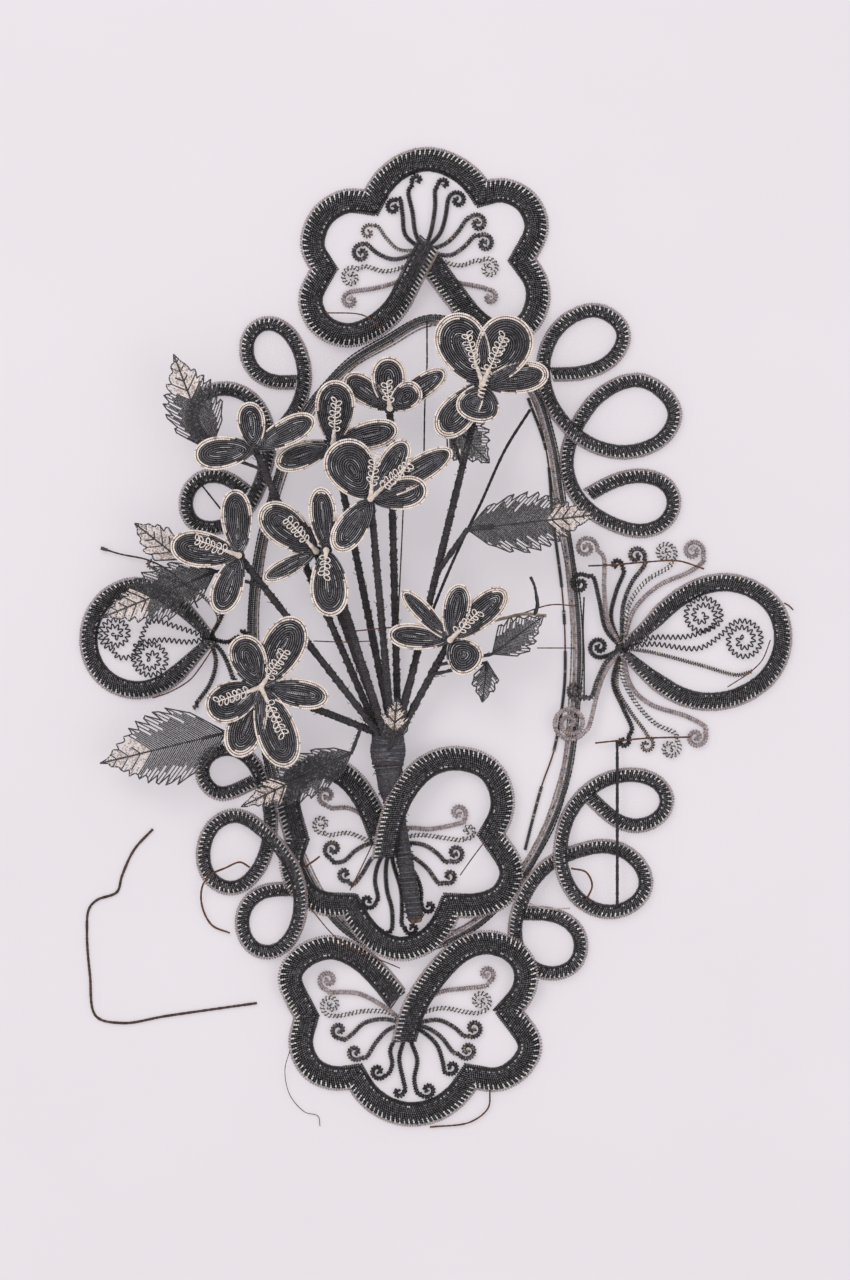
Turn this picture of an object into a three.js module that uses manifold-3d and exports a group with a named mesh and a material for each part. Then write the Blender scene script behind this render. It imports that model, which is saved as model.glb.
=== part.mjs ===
// A funeral wreath of beaded iron wire, lying on its back.
// X runs to the right, Y up the wreath and Z towards the viewer, all in millimetres.
import * as THREE from 'three';
import { mergeVertices } from 'three/addons/utils/BufferGeometryUtils.js';
import Module from 'manifold-3d';

const wasm = await Module();
wasm.setup();

// Driving dimensions of the whole wreath
const wreathHeight = 885;
const clearance = 0.35;

// Gutter-shaped bands of short bead rows
const bandRise = 9;
const bandWall = 2.6;
const pansyBandWidth = 23;
const scrollBandWidth = 14;
const teardropBandWidth = 17.4;
const pansyBandStep = 16.5;
const scrollBandStep = 17;
const teardropBandStep = 19;
const bandShoulderShare = 0.62;
const bandShoulderRiseShare = 0.78;
const sharpestMitre = 1.7;

// Oval ring and the thin wires tied to it
const ringRadius = 4;
const ringStep = 40;
const innerWireRadius = 1.7;
const braceWireRadius = 1.2;
const looseWireRadius = 1.6;
const wireStep = 22;

// Curled bead wires
const curlRadius = 2.1;
const tieRadius = 6.5;
const curlLift = 0.6;

// Bouquet
const handleEndRadius = 8;
const handleEndHeight = 13.6;
const bundleHeight = 18;
const stemRadius = 3.1;
const bindingWall = 2.4;
const bindingLength = 26;
const knotRadius = 5;
const petalThickness = 3;
const stamenRadius = 1.8;
const stamenTipRadius = 3.6;
const stamenBaseRadius = 2.6;
const stamenLift = 9;
const leafThickness = 2;
const stalkRadius = 1.4;

// The photograph's frame: pixel columns and rows that bound the wreath
const topRowPixel = 145;
const bottomRowPixel = 1128;
const middleRowPixel = (topRowPixel + bottomRowPixel) / 2;
const middleColumnPixel = 436;
const millimetresPerPixel = wreathHeight / (bottomRowPixel - topRowPixel);

// One layer of band lies over another at this height
const layerHeight = bandRise + clearance;

// Routes, each point as [pixel column, pixel row, layer of bands it lies on]
const topPansyRunsPixels = [
  [[430, 243, 1.82], [411, 280, 1.5], [395, 309, 0.78], [373, 328, 0.78], [347, 336, 0.78], [321, 325, 0.4],
    [310, 299, 0], [324, 269, 0]],
  [[324, 269, 0], [312, 246, 0], [322, 216, 0], [346, 201, 0], [371, 203, 0]],
  [[371, 203, 0], [384, 181, 0], [404, 165, 0], [428, 159, 0], [453, 166, 0], [472, 180, 0], [482, 194, 0]],
  [[482, 194, 0], [503, 190, 0], [527, 202, 0], [537, 228, 0], [522, 260, 0]],
  [[522, 260, 0], [536, 281, 0], [538, 301, 0], [526, 326, 0.78], [500, 335, 0.78], [476, 322, 0.78],
    [456, 298, 0.78],
    [438, 274, 0.78], [425, 256, 0.78]],
];
const middlePansyRunsPixels = [
  [[381, 836, 0.78], [374, 818, 0.78], [366, 800, 0.78], [349, 778, 0.78], [325, 766, 0.78],
    [299, 775, 0.78], [288, 798, 0.78],
    [297, 839, 0.78]],
  [[297, 839, 0.78], [291, 860, 0.78], [298, 884, 0.78], [319, 902, 0.78], [350, 905, 0.78]],
  [[350, 905, 0.78], [361, 924, 0.78], [379, 942, 0.78], [402, 949, 0.78], [425, 942, 0.78],
    [442, 925, 0.78], [451, 905, 0.78]],
  [[451, 905, 0.78], [478, 905, 0.78], [502, 895, 0.78], [512, 870, 0.78], [491, 834, 0.78]],
  [[491, 834, 0.78], [501, 815, 0.78], [502, 793, 0.78], [488, 768, 0.78], [458, 758, 0.78], [430, 764, 1.7],
    [407, 786, 2.66], [394, 812, 2.66], [388, 835, 2.6], [384, 858, 2.4]],
];
const bottomPansyRunsPixels = [
  [[393.5, 993.5, 0], [381.5, 978.5, 0], [365.5, 962.5, 0], [348.5, 951.5, 0.4], [328.5, 946.5, 1],
    [302.5, 956.5, 1], [289.5, 976.5, 1],
    [306.5, 1016.5, 0]],
  [[306.5, 1016.5, 0], [300.5, 1044.5, 0], [311.5, 1068.5, 0], [333.5, 1078.5, 0], [355.5, 1076.5, 0]],
  [[355.5, 1076.5, 0], [366.5, 1093.5, 0], [386.5, 1108.5, 0], [411.5, 1114.5, 0], [438.5, 1108.5, 0],
    [457.5, 1094.5, 0],
    [470.5, 1076.5, 0]],
  [[470.5, 1076.5, 0], [499.5, 1079.5, 0], [521.5, 1065.5, 0], [530.5, 1044.5, 0], [508.5, 1010.5, 0]],
  [[508.5, 1010.5, 0], [521.5, 994.5, 0.6], [526.5, 978.5, 1.1], [523.5, 962.5, 1.1], [510.5, 948.5, 1.1],
    [485.5, 941.5, 1],
    [461.5, 949.5, 0.4], [442.5, 966.5, 0.4], [426.5, 986.5, 1], [413.5, 1008.5, 1], [405.5, 1034.5, 1]],
];
const topRightScrollPixels = [
  [556.7, 374.5, 0], [578.7, 374, 0], [610.7, 362, 0], [625.7, 332, 0], [597.7, 309, 0], [561.7, 323, 0],
  [544.7, 352, 0],
  [542.7, 378, 0], [548.7, 400, 0], [560.7, 420, 1], [578.7, 438, 1], [600.7, 449, 0], [627.7, 453, 0],
  [662.7, 440, 0],
  [676.7, 411, 0], [641.7, 379, 0], [601.7, 393, 0], [579.7, 420, 0], [567.7, 448, 0], [565.7, 468, 0],
  [574.7, 494, 0],
  [590.7, 512, 0], [611.7, 524, 0], [638.7, 532, 0], [663.7, 525, 0], [675.7, 503, 0], [666.7, 483, 0],
  [638.7, 475, 0],
  [610.7, 482, 0], [592.7, 492, 0],
];
const topLeftScrollPixels = [
  [291.4, 382.4, 0], [271.4, 382.4, 0], [251.4, 369.4, 0], [245.4, 349.4, 0], [251.4, 329.4, 0],
  [270.4, 321.4, 0], [288.4, 331.4, 0],
  [300.4, 351.4, 0], [305.4, 379.4, 0], [299.4, 403.4, 0], [285.4, 425.4, 1], [264.4, 442.4, 1],
  [241.4, 451.4, 0], [213.4, 447.4, 0],
  [194.4, 431.4, 0], [191.4, 409.4, 0], [206.4, 391.4, 0], [233.4, 388.4, 0], [257.4, 403.4, 0],
  [268.4, 429.4, 0], [269.4, 453.4, 0],
  [264.4, 473.4, 0], [257.4, 491.4, 0], [249.4, 507.4, 0], [234.4, 521.4, 0], [212.4, 529.4, 0],
  [191.4, 523.4, 0], [184.4, 503.4, 0],
  [191.4, 484.4, 0], [208.4, 474.4, 0], [229.4, 478.4, 0], [243.4, 489.4, 0],
];
const bottomRightScrollPixels = [
  [530.1, 913.1, 0], [554.1, 914.1, 0], [577.1, 928.1, 0], [582.1, 947.1, 0], [576.1, 965.1, 0],
  [558.1, 974.1, 0], [539.1, 972.1, 0],
  [521.1, 958.1, 0], [514.1, 934.1, 0], [519.1, 906.1, 1], [533.1, 879.1, 1], [552.1, 861.1, 0],
  [571.1, 853.1, 0], [604.1, 845.1, 0],
  [629.1, 853.1, 0], [645.1, 872.1, 0], [647.1, 888.1, 0], [634.1, 905.1, 0], [609.1, 913.1, 0],
  [585.1, 905.1, 0], [569.1, 888.1, 1],
  [560.1, 863.1, 1], [561.1, 837.1, 1], [569.1, 813.1, 0], [584.1, 793.1, 0], [605.1, 779.1, 0],
  [634.1, 774.1, 0], [659.1, 782.1, 0],
  [669.1, 801.1, 0], [660.1, 818.1, 0], [637.1, 827.1, 0], [616.1, 821.1, 0], [598.1, 805.1, 0],
];
const bottomLeftScrollPixels = [
  [285.3, 889, 0], [264.3, 890, 0], [245.3, 905, 0], [241.3, 928, 0], [251.3, 948, 0], [269.3, 954, 0],
  [286.3, 945, 0],
  [298.3, 923, 1], [301.3, 895, 2], [294.3, 868, 2], [281.3, 848, 2], [261.3, 828, 1.4], [237.3, 814, 0.3],
  [213.3, 824, 0],
  [202.3, 852, 0], [209.3, 879, 0], [234.3, 890, 0], [257.3, 872, 0], [268.3, 845, 0], [271.3, 815, 0],
  [264.3, 786, 0],
  [252.3, 760, 0], [229.3, 747, 0], [205.3, 757, 0], [201.3, 778, 0], [219.3, 796, 0], [243.3, 787, 0],
];
const rightTeardropPixels = [
  [627.6, 642.4, 1], [646.6, 627.4, 0.7], [665.6, 608.4, 0], [690.6, 590.4, 0], [721.6, 581.4, 0],
  [752.6, 588.4, 0], [775.6, 607.4, 0],
  [783.6, 633.4, 0], [780.6, 656.4, 0], [767.6, 678.4, 0], [742.6, 695.4, 0], [712.6, 702.4, 0],
  [682.6, 697.4, 0], [653.6, 679.4, 0.5],
  [627.6, 656.4, 1],
];
const leftTeardropPixels = [
  [206.8, 632, 1], [188.8, 613, 0.6], [165.8, 594, 0], [135.8, 585, 0], [108.8, 595, 0], [92.8, 616, 0],
  [87.8, 640, 0],
  [93.8, 665, 0], [111.8, 684, 0], [140.8, 691, 0], [168.8, 681, 0], [188.8, 662, 0.6], [206.8, 644, 1],
];
const ovalRingPixels = [
  [430, 320, 0], [480, 336, 0], [513, 364, 0], [536, 397, 0], [550, 440, 0], [560, 500, 0], [571, 570, 0],
  [577, 640, 0], [575, 700, 0], [563, 785, 0], [541, 842, 0], [512, 888, 0], [478, 922, 0], [430, 945, 0],
  [388, 947, 0], [345, 927, 0], [311, 880, 0], [287, 820, 0], [269, 760, 0], [257, 690, 0], [253, 620, 0],
  [259, 560, 0], [273, 500, 0], [288.6, 450.6, 0], [315.6, 400.6, 0], [349, 365, 0], [388, 341, 0],
];
const innerWirePixels = [
  [528, 398, 0], [546, 450, 0], [553, 520, 0], [562, 590, 0], [565, 640, 0], [564, 690, 0], [554, 750, 0],
  [542, 785, 0], [532, 822, 0], [525, 850, 0],
];

// Curled wires: where each spiral lies, its outer radius in pixels, the layer it lies on and its arm's route
const topPansyTiePixel = [423.5, 250.5];
const topPansyCurlsPixels = [
  { centre: [393.7, 207.5], radius: 10.6, layer: 0, arm: [[405.5, 235.5], [402.5, 214.5], [399.5, 198.5]] },
  { centre: [417.5, 180.5], radius: 9, layer: 0, arm: [[415.5, 233.5], [412.5, 212.5], [408.5, 190.5]] },
  { centre: [444, 184.5], radius: 9, layer: 0, arm: [[430.5, 233.5], [435, 207.5], [435.5, 188.5]] },
  { centre: [457.5, 200.5], radius: 12, layer: 0, arm: [[439.5, 234.5], [445.5, 216.5], [447.5, 202.5]] },
  { centre: [477.5, 223.5], radius: 12, layer: 0, arm: [[444.5, 244.5], [457.5, 232.5], [467.5, 218.5]] },
  { centre: [484.5, 243.5], radius: 12, layer: 0, arm: [[449.5, 255.5], [463.5, 247.5], [475.5, 235.5]] },
  { centre: [488.5, 268.5], radius: 13, layer: 0, arm: [[445.5, 262.5], [461.5, 265.5], [476.5, 260.5]] },
  { centre: [489.5, 297.5], radius: 10.5, layer: 0,
    arm: [[439.5, 272.5], [457.5, 282.5], [472.5, 285.5], [485.5, 288.5]] },
  { centre: [368.5, 232.5], radius: 10.5, layer: 0, arm: [[398.5, 249.5], [386.5, 238.5], [376.5, 225.5]] },
  { centre: [361.5, 253.5], radius: 12, layer: 0, arm: [[394.5, 259.5], [377.5, 253.5], [365.5, 243.5]] },
  { centre: [351.5, 277.5], radius: 13, layer: 0, arm: [[404.5, 266.5], [384.5, 271.5], [364.5, 266.5]] },
  { centre: [350.5, 300.5], radius: 11, layer: 0,
    arm: [[403.5, 278.5], [386.5, 285.5], [368.5, 289.5], [352.5, 291.5]] },
];
const middlePansyTiePixel = [389.8, 846];
const middlePansyCurlsPixels = [
  { centre: [327, 796], radius: 12, layer: 0, arm: [[374, 832], [362, 815], [348, 808], [330, 808]] },
  { centre: [322, 824], radius: 12, layer: 0, arm: [[372, 842], [348, 833], [328, 835]] },
  { centre: [333, 849], radius: 12, layer: 0, arm: [[369, 844], [355, 851], [344, 861], [333, 862]] },
  { centre: [345, 874], radius: 10, layer: 0, arm: [[373, 857], [362, 874], [352, 885]] },
  { centre: [368, 901], radius: 11, layer: 0, arm: [[379, 862], [375, 880], [378, 899]] },
  { centre: [381, 931.2], radius: 9, layer: 0, arm: [[386, 868], [387, 890], [392, 910], [391, 931]] },
  { centre: [412, 928], radius: 10, layer: 0, arm: [[394, 866], [401, 890], [402, 912], [402, 925]] },
  { centre: [429, 906], radius: 10, layer: 0, arm: [[400, 858], [414, 872], [421, 890], [421, 903]] },
  { centre: [449, 876], radius: 10.5, layer: 0, arm: [[413, 857], [427, 868], [440, 884]] },
  { centre: [455, 853], radius: 12, layer: 0, arm: [[405, 843], [424, 845], [438, 854], [446, 862]] },
  { centre: [468, 831], radius: 10.5, layer: 0, arm: [[403, 838], [420, 835], [445, 838], [462, 840]] },
  { centre: [458, 813], radius: 11, layer: 0, arm: [[405, 829], [430, 829], [453, 825], [465, 821]] },
];
const bottomPansyTiePixel = [406.5, 1024.5];
const bottomPansyCurlsPixels = [
  { centre: [328.3, 980], radius: 12.5, layer: 0,
    arm: [[386.3, 1008], [360.3, 994], [343.3, 992], [329.3, 992]] },
  { centre: [331.3, 1005], radius: 13.5, layer: 0,
    arm: [[390.3, 1013], [364.3, 1011], [348.3, 1014], [336.3, 1016]] },
  { centre: [339.3, 1030], radius: 11, layer: 0,
    arm: [[385.3, 1019], [364.3, 1023], [352.3, 1034], [343.3, 1040]] },
  { centre: [355.3, 1052], radius: 11, layer: 0, arm: [[389.3, 1029], [376.3, 1042], [365.3, 1058]] },
  { centre: [378.3, 1071], radius: 11, layer: 0,
    arm: [[397.3, 1036], [390.3, 1050], [392.3, 1064], [388.3, 1074]] },
  { centre: [398.3, 1091.5], radius: 8.5, layer: 0,
    arm: [[403.3, 1042], [399.3, 1058], [403.3, 1080], [405.3, 1090]] },
  { centre: [427.5, 1089.5], radius: 10.8, layer: 0,
    arm: [[411.3, 1042], [417.3, 1060], [414.3, 1080], [418.3, 1094]] },
  { centre: [451.3, 1067], radius: 10, layer: 0,
    arm: [[420.3, 1030], [436.3, 1044], [442.3, 1060], [445.3, 1073]] },
  { centre: [467.3, 1050], radius: 12, layer: 0, arm: [[425.3, 1027], [440.3, 1036], [454.3, 1053]] },
  { centre: [473.3, 1028], radius: 12, layer: 0,
    arm: [[425.3, 1021], [439.3, 1020], [455.3, 1028], [464.3, 1036]] },
  { centre: [480.3, 1001], radius: 13.5, layer: 0,
    arm: [[422.3, 1013], [442.3, 1008], [466.3, 1012], [478.3, 1013]] },
  { centre: [486.3, 974], radius: 11, layer: 0,
    arm: [[423.3, 1003], [440.3, 992], [468.3, 988], [487.3, 985]] },
];
const rightTiePixel = [622, 648];
const rightCurlsPixels = [
  { centre: [702.5, 616], radius: 21, layer: 0, arm: [[650, 638], [690, 636], [718, 624]] },
  { centre: [743, 640], radius: 22, layer: 0, arm: [[650, 644], [700, 648], [722, 634]] },
  { centre: [752, 671], radius: 3, layer: 0, arm: [[650, 652], [700, 665], [738, 675]] },
  { centre: [616, 565], radius: 9, layer: 0, arm: [[611, 618], [616, 592], [624, 570]] },
  { centre: [636, 556], radius: 12, layer: 0, arm: [[623, 606], [632, 582], [645, 564]] },
  { centre: [665, 553], radius: 14, layer: 0, arm: [[629, 605], [645, 582], [670, 566]] },
  { centre: [693, 551], radius: 13.5, layer: 0, arm: [[634, 610], [658, 586], [691, 571], [704, 560]] },
  { centre: [623, 741], radius: 9.5, layer: 0, arm: [[613, 682], [623, 708], [632, 730]] },
  { centre: [646, 745], radius: 11, layer: 0, arm: [[617, 686], [630, 711], [646, 733]] },
  { centre: [670, 748], radius: 13, layer: 0, arm: [[622, 675], [636, 703], [656, 724], [676, 734]] },
  { centre: [696, 737], radius: 13, layer: 0, arm: [[631, 686], [650, 704], [688, 717], [706, 728]] },
  { centre: [599, 647], radius: 13.5, layer: 0, arm: [[607, 656]] },
  { centre: [580, 584], radius: 13, layer: 0.72, arm: [[606, 630], [599, 600], [592, 576]] },
  { centre: [576, 690], radius: 12.5, layer: 0.72, arm: [[606, 662], [597, 680], [590, 698]] },
  { centre: [586, 548], radius: 14, layer: 0.72, arm: [[608, 622], [604, 590], [603, 556]] },
  { centre: [570, 723], radius: 19, layer: 0.72, arm: [[605, 672], [597, 694], [588, 728]] },
];
const leftTiePixel = [209, 638];
const leftCurlsPixels = [
  { centre: [151, 658.5], radius: 20, layer: 0, arm: [[190, 642], [160, 640], [136, 645]] },
  { centre: [115.5, 634], radius: 18, layer: 0, arm: [[180, 628], [150, 622], [134, 655], [118, 657]] },
  { centre: [242, 633], radius: 8.3, layer: 0, arm: [[228, 642]] },
  { centre: [238, 583], radius: 9, layer: 0, arm: [[219, 622], [226, 605], [233, 592]] },
  { centre: [152, 563], radius: 8, layer: 1.8, arm: [[219, 618], [196, 590], [160, 574]] },
  { centre: [194, 706], radius: 6, layer: 0, arm: [[216, 660], [211, 682], [199, 700]] },
  { centre: [233, 681], radius: 6, layer: 0, arm: [[222, 652], [231, 672]] },
];

// Straight and bent wires, each point as [pixel column, pixel row, layer]
const upperCrossWirePixels = [[588, 566, 1.24], [612, 565, 1.22], [647, 562, 0.75], [678, 561, 0.75],
[704, 569, 0.6]];
const lowerCrossWirePixels = [[595, 743, 0.51], [614, 741, 0.51], [650, 738, 0.51], [690, 737, 0.51]];
const uprightRodPixels = [
  [617, 741, 0.51], [617, 768, 0.99], [617, 800, 0.99], [617, 850, 0.99], [617, 905, 0.99],
];
const looseWirePixels = [
  [153, 829, 0], [134, 850, 0], [122, 876, 0], [117, 892, 0], [97, 900, 0], [89, 909, 0], [87, 934, 0],
  [90, 975, 0], [96, 1016, 0], [123, 1023, 0], [166, 1016, 0], [257, 1003, 0],
];

// Bouquet: pixel places of the handle and the binding
const bundlePixel = [388, 750];
const handleEndPixel = [415.5, 918.5];

// Flowers, each with its knot, its height off the table and its petals: tip pixel, width in pixels and lift.
// The stamens are the tips of their strings.
const flowersPixels = [
  { name: 'upper_right', knot: [482, 386], height: 58, slot: 4,
    petals: [[447, 318, 62, 16], [519, 321, 66, 16], [548, 375, 38, 10], [474, 424, 52, 6],
      [438, 437, 44, 4]],
    stamens: [[466, 336], [504, 338]] },
  { name: 'upper_middle', knot: [390, 410], height: 46, slot: 6,
    petals: [[345, 378, 34, 12], [388, 358, 42, 14], [420, 388, 34, 12], [446, 372, 30, 8]],
    stamens: [[387, 384]] },
  { name: 'upper_left', knot: [334, 445], height: 48, slot: 7,
    petals: [[337, 382, 48, 20], [276, 466, 34, 8], [399, 430, 36, 14]],
    stamens: [[337, 402]] },
  { name: 'centre', knot: [371, 500], height: 66, slot: 3,
    petals: [[336, 444, 60, 10], [452, 452, 34, 14], [428, 490, 40, 10], [407, 442, 34, 14],
      [336, 552, 38, 8]],
    stamens: [[411, 464], [376, 455]] },
  { name: 'far_left', knot: [256, 450], height: 62, slot: 9,
    petals: [[196, 458, 40, 12], [250, 404, 34, 18], [316, 420, 34, 12]],
    stamens: [] },
  { name: 'left', knot: [240, 556], height: 46, slot: 1,
    petals: [[172, 545, 44, 14], [220, 614, 38, 12], [236, 490, 38, 12]],
    stamens: [[197, 540]] },
  { name: 'centre_left', knot: [317, 552], height: 44, slot: 8,
    petals: [[262, 508, 48, 14], [264, 580, 24, 8]],
    stamens: [[288, 520]] },
  { name: 'centre_low', knot: [327, 551], height: 60, slot: 2,
    petals: [[321, 488, 34, 14], [332, 617, 46, 12]],
    stamens: [[325, 578]] },
  { name: 'lower_left', knot: [262, 687], height: 52, slot: 0,
    petals: [[240, 636, 44, 14], [300, 618, 52, 14], [330, 698, 36, 10], [290, 766, 50, 12],
      [236, 756, 46, 8], [208, 712, 48, 10]],
    stamens: [[219, 701], [287, 650], [285, 734]] },
  { name: 'right', knot: [450, 640], height: 48, slot: 5,
    petals: [[388, 634, 32, 10], [402, 591, 24, 14], [461, 584, 34, 18], [506, 590, 38, 18],
      [476, 670, 44, 10]],
    stamens: [[478, 612]] },
];

// Leaves, each with its base, its tip, its width, the heights of both ends and the stem its stalk is tied to
const leavesPixels = [
  { name: 'far_left', base: [212, 452], tip: [175, 356], width: 56, heights: [50, 44], stem: 'far_left',
    stemShare: 0.93 },
  { name: 'upper', base: [446, 419], tip: [489, 464], width: 48, heights: [47, 46], stem: 'upper_right',
    stemShare: 0.78 },
  { name: 'upper_right', base: [467, 530], tip: [598, 515], width: 58, heights: [44, 40], stem: 'upper_right',
    stemShare: 0.5 },
  { name: 'left', base: [216, 572], tip: [102, 618], width: 53, heights: [34, 22], stem: 'left',
    stemShare: 0.94 },
  { name: 'left_pale', base: [182, 560], tip: [136, 524], width: 34, heights: [38, 36], stem: 'left',
    stemShare: 0.84 },
  { name: 'lower_left', base: [228, 732], tip: [101, 763], width: 74, heights: [34, 24], stem: 'lower_left',
    stemShare: 0.9 },
  { name: 'lower', base: [352, 752], tip: [242, 806], width: 44, heights: [40, 34], stem: 'lower_left',
    stemShare: 0.3 },
  { name: 'bundle', base: [393, 744], tip: [397, 698], width: 30, heights: [42, 47], stem: 'binding' },
  { name: 'right', base: [492, 654], tip: [543, 616], width: 38, heights: [39, 42], stem: 'right',
    stemShare: 0.78 },
  { name: 'lower_right', base: [487, 662], tip: [482, 702], width: 26, heights: [38, 38], stem: 'right',
    stemShare: 0.7 },
];

// Counts and unit shapes
const stemCount = flowersPixels.length;
const fewestSteps = 3;
const curlTurnSteps = 7;
const curlTurns = 1.25;
const spiralTurns = 1.8;
const curlInnerShare = 0.32;
const curlTighteningPower = 1.5;
const wideCurlRadius = 14;
const wireSides = 3;
const ringSides = 6;
const stemSides = 5;
const handleSides = 10;
const tieSides = 6;
const tieRings = 4;
const petalRimPoints = 7;
const petalMidShare = 0.55;
const petalCupShare = 0.16;
const leafTeeth = 5;
const leafBellyPower = 0.75;
const leafToothShare = 0.05;
const leafNotchShare = 0.8;
const leafFoldShare = 0.12;
const leafArchShare = 0.04;
const stalkInBladeShare = 0.2;
const stemSteps = 5;
const stemRisePower = 1.8;
const stemTopShare = 0.85;
const bindingSides = 14;
const stamenSides = 3;
const stamenMidShare = 0.45;

// Colours of the materials
const blackBeads = { color: 0x353539, roughness: 0.4, metalness: 0.1 };
const greyBeads = { color: 0x4a4c54, roughness: 0.35, metalness: 0.3 };
const paleBeads = { color: 0xb3a5a6, roughness: 0.5, metalness: 0 };
const blackThread = { color: 0x2c2a2d, roughness: 0.85, metalness: 0 };
const rustyWire = { color: 0x6d4a3c, roughness: 0.8, metalness: 0.3 };

const wreath = new THREE.Group();

function addPiece(name, geometry, finish) {
  const mesh = new THREE.Mesh(geometry, new THREE.MeshStandardMaterial(finish));
  mesh.name = name;
  wreath.add(mesh);
}

// A pixel place of the photograph as a point of the wreath, on the layer given
function spot([column, row, layer = 0]) {
  const x = (column - middleColumnPixel) * millimetresPerPixel;
  const y = (middleRowPixel - row) * millimetresPerPixel;
  return new THREE.Vector3(x, y, layer * layerHeight);
}

function spotAt(pixel, height) {
  return spot(pixel).setZ(height);
}

function smoothPoints(points, step, closed = false) {
  const curve = new THREE.CatmullRomCurve3(points, closed, 'centripetal');
  const count = Math.max(fewestSteps, Math.round(curve.getLength() / step));
  const spaced = curve.getSpacedPoints(count);
  if (closed) {
    spaced.pop();
  }
  return spaced.map((point) => point.setZ(Math.max(point.z, 0)));
}

// Six times the signed volume, which is positive where the faces point out
function signedVolume(positions, triangles) {
  let volume = 0;
  for (let i = 0; i < triangles.length; i += 3) {
    const [a, b, c] = [positions[triangles[i]], positions[triangles[i + 1]], positions[triangles[i + 2]]];
    volume += a.dot(new THREE.Vector3().crossVectors(b, c));
  }
  return volume;
}

function geometryOf(positions, triangles) {
  const outward = signedVolume(positions, triangles) > 0 ? triangles : [...triangles].reverse();
  const geometry = new THREE.BufferGeometry();
  const places = positions.flatMap((point) => point.toArray());
  geometry.setAttribute('position', new THREE.Float32BufferAttribute(places, 3));
  geometry.setIndex(outward);
  return geometry;
}

// A closed solid through rings of points, with end caps shaped like the outline unless the rings close
function solidFromRings(rings, outline, closed) {
  const width = outline.length;
  const positions = rings.flat();
  const triangles = [];
  const spans = closed ? rings.length : rings.length - 1;
  for (let i = 0; i < spans; i += 1) {
    const here = i * width;
    const next = ((i + 1) % rings.length) * width;
    for (let j = 0; j < width; j += 1) {
      const k = (j + 1) % width;
      triangles.push(here + j, here + k, next + k, here + j, next + k, next + j);
    }
  }
  if (!closed) {
    const last = (rings.length - 1) * width;
    for (const [a, b, c] of THREE.ShapeUtils.triangulateShape(outline, [])) {
      triangles.push(c, b, a, last + a, last + b, last + c);
    }
  }
  return geometryOf(positions, triangles);
}

// The crescent section of a band: its two edges, shoulders and crown, and the hollow under the crown.
// It runs anticlockwise, as the end caps need.
function bandOutline(width) {
  const half = width / 2;
  const shoulder = half * bandShoulderShare;
  const shoulderRise = bandRise * bandShoulderRiseShare;
  return [
    new THREE.Vector2(half, 0),
    new THREE.Vector2(shoulder, shoulderRise),
    new THREE.Vector2(0, bandRise),
    new THREE.Vector2(-shoulder, shoulderRise),
    new THREE.Vector2(-half, 0),
    new THREE.Vector2(0, bandRise - bandWall),
  ];
}

function roundOutline(radius, sides) {
  return Array.from({ length: sides }, (_, i) => {
    const angle = (i / sides) * 2 * Math.PI;
    return new THREE.Vector2(radius * Math.cos(angle), radius * Math.sin(angle));
  });
}

// The level direction across a route at one of its points, lengthened at a corner to keep the edges straight
function mitreAcross(points, index) {
  const into = Math.max(index, 1);
  const out = Math.min(index + 1, points.length - 1);
  const sides = [into, out].map((end) => {
    const way = new THREE.Vector3().subVectors(points[end], points[end - 1]);
    return new THREE.Vector3(way.y, -way.x, 0).normalize();
  });
  const across = sides[0].clone().add(sides[1]).normalize();
  return across.multiplyScalar(Math.min(1 / across.dot(sides[1]), sharpestMitre));
}

// A band of even width that lies flat along runs of smooth route, joined at sharp corners
function bandGeometry(runs, width, step) {
  const points = [];
  for (const run of runs) {
    const sampled = smoothPoints(run.map(spot), step);
    points.push(...(points.length > 0 ? sampled.slice(1) : sampled));
  }
  const outline = bandOutline(width);
  const rings = points.map((point, i) => {
    const across = mitreAcross(points, i);
    return outline.map(({ x, y }) => point.clone().addScaledVector(across, x).setZ(point.z + y));
  });
  return solidFromRings(rings, outline, false);
}

const scrollBand = (route) => bandGeometry([route], scrollBandWidth, scrollBandStep);
const pansyBand = (runs) => bandGeometry(runs, pansyBandWidth, pansyBandStep);
const teardropBand = (route) => bandGeometry([route], teardropBandWidth, teardropBandStep);

// A round tube through the points given, with a radius for each point
function tubeGeometry(points, radii, sides, closed = false) {
  const outline = roundOutline(1, sides);
  const count = points.length;
  const rings = points.map((point, i) => {
    const before = closed ? points[(i + count - 1) % count] : points[Math.max(i - 1, 0)];
    const after = closed ? points[(i + 1) % count] : points[Math.min(i + 1, count - 1)];
    const along = new THREE.Vector3().subVectors(after, before).normalize();
    const across = new THREE.Vector3(along.y, -along.x, 0).normalize();
    const up = new THREE.Vector3().crossVectors(across, along);
    return outline.map(({ x, y }) => point.clone()
      .addScaledVector(across, x * radii[i])
      .addScaledVector(up, y * radii[i]));
  });
  return solidFromRings(rings, outline, closed);
}

function evenTube(points, radius, sides, closed = false) {
  return tubeGeometry(points, points.map(() => radius), sides, closed);
}

function solidOf(geometry) {
  const bare = geometry.clone();
  bare.deleteAttribute('normal');
  bare.deleteAttribute('uv');
  const merged = mergeVertices(bare);
  return new wasm.Manifold(new wasm.Mesh({
    numProp: 3,
    vertProperties: new Float32Array(merged.attributes.position.array),
    triVerts: new Uint32Array(merged.index.array),
  }));
}

function joined(geometries) {
  const solids = geometries.map(solidOf);
  const whole = solids.slice(1).reduce((sum, solid) => sum.add(solid), solids[0]);
  const mesh = whole.getMesh();
  const geometry = new THREE.BufferGeometry();
  geometry.setAttribute('position', new THREE.BufferAttribute(Float32Array.from(mesh.vertProperties), 3));
  geometry.setIndex(new THREE.BufferAttribute(Uint32Array.from(mesh.triVerts), 1));
  return geometry;
}

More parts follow.
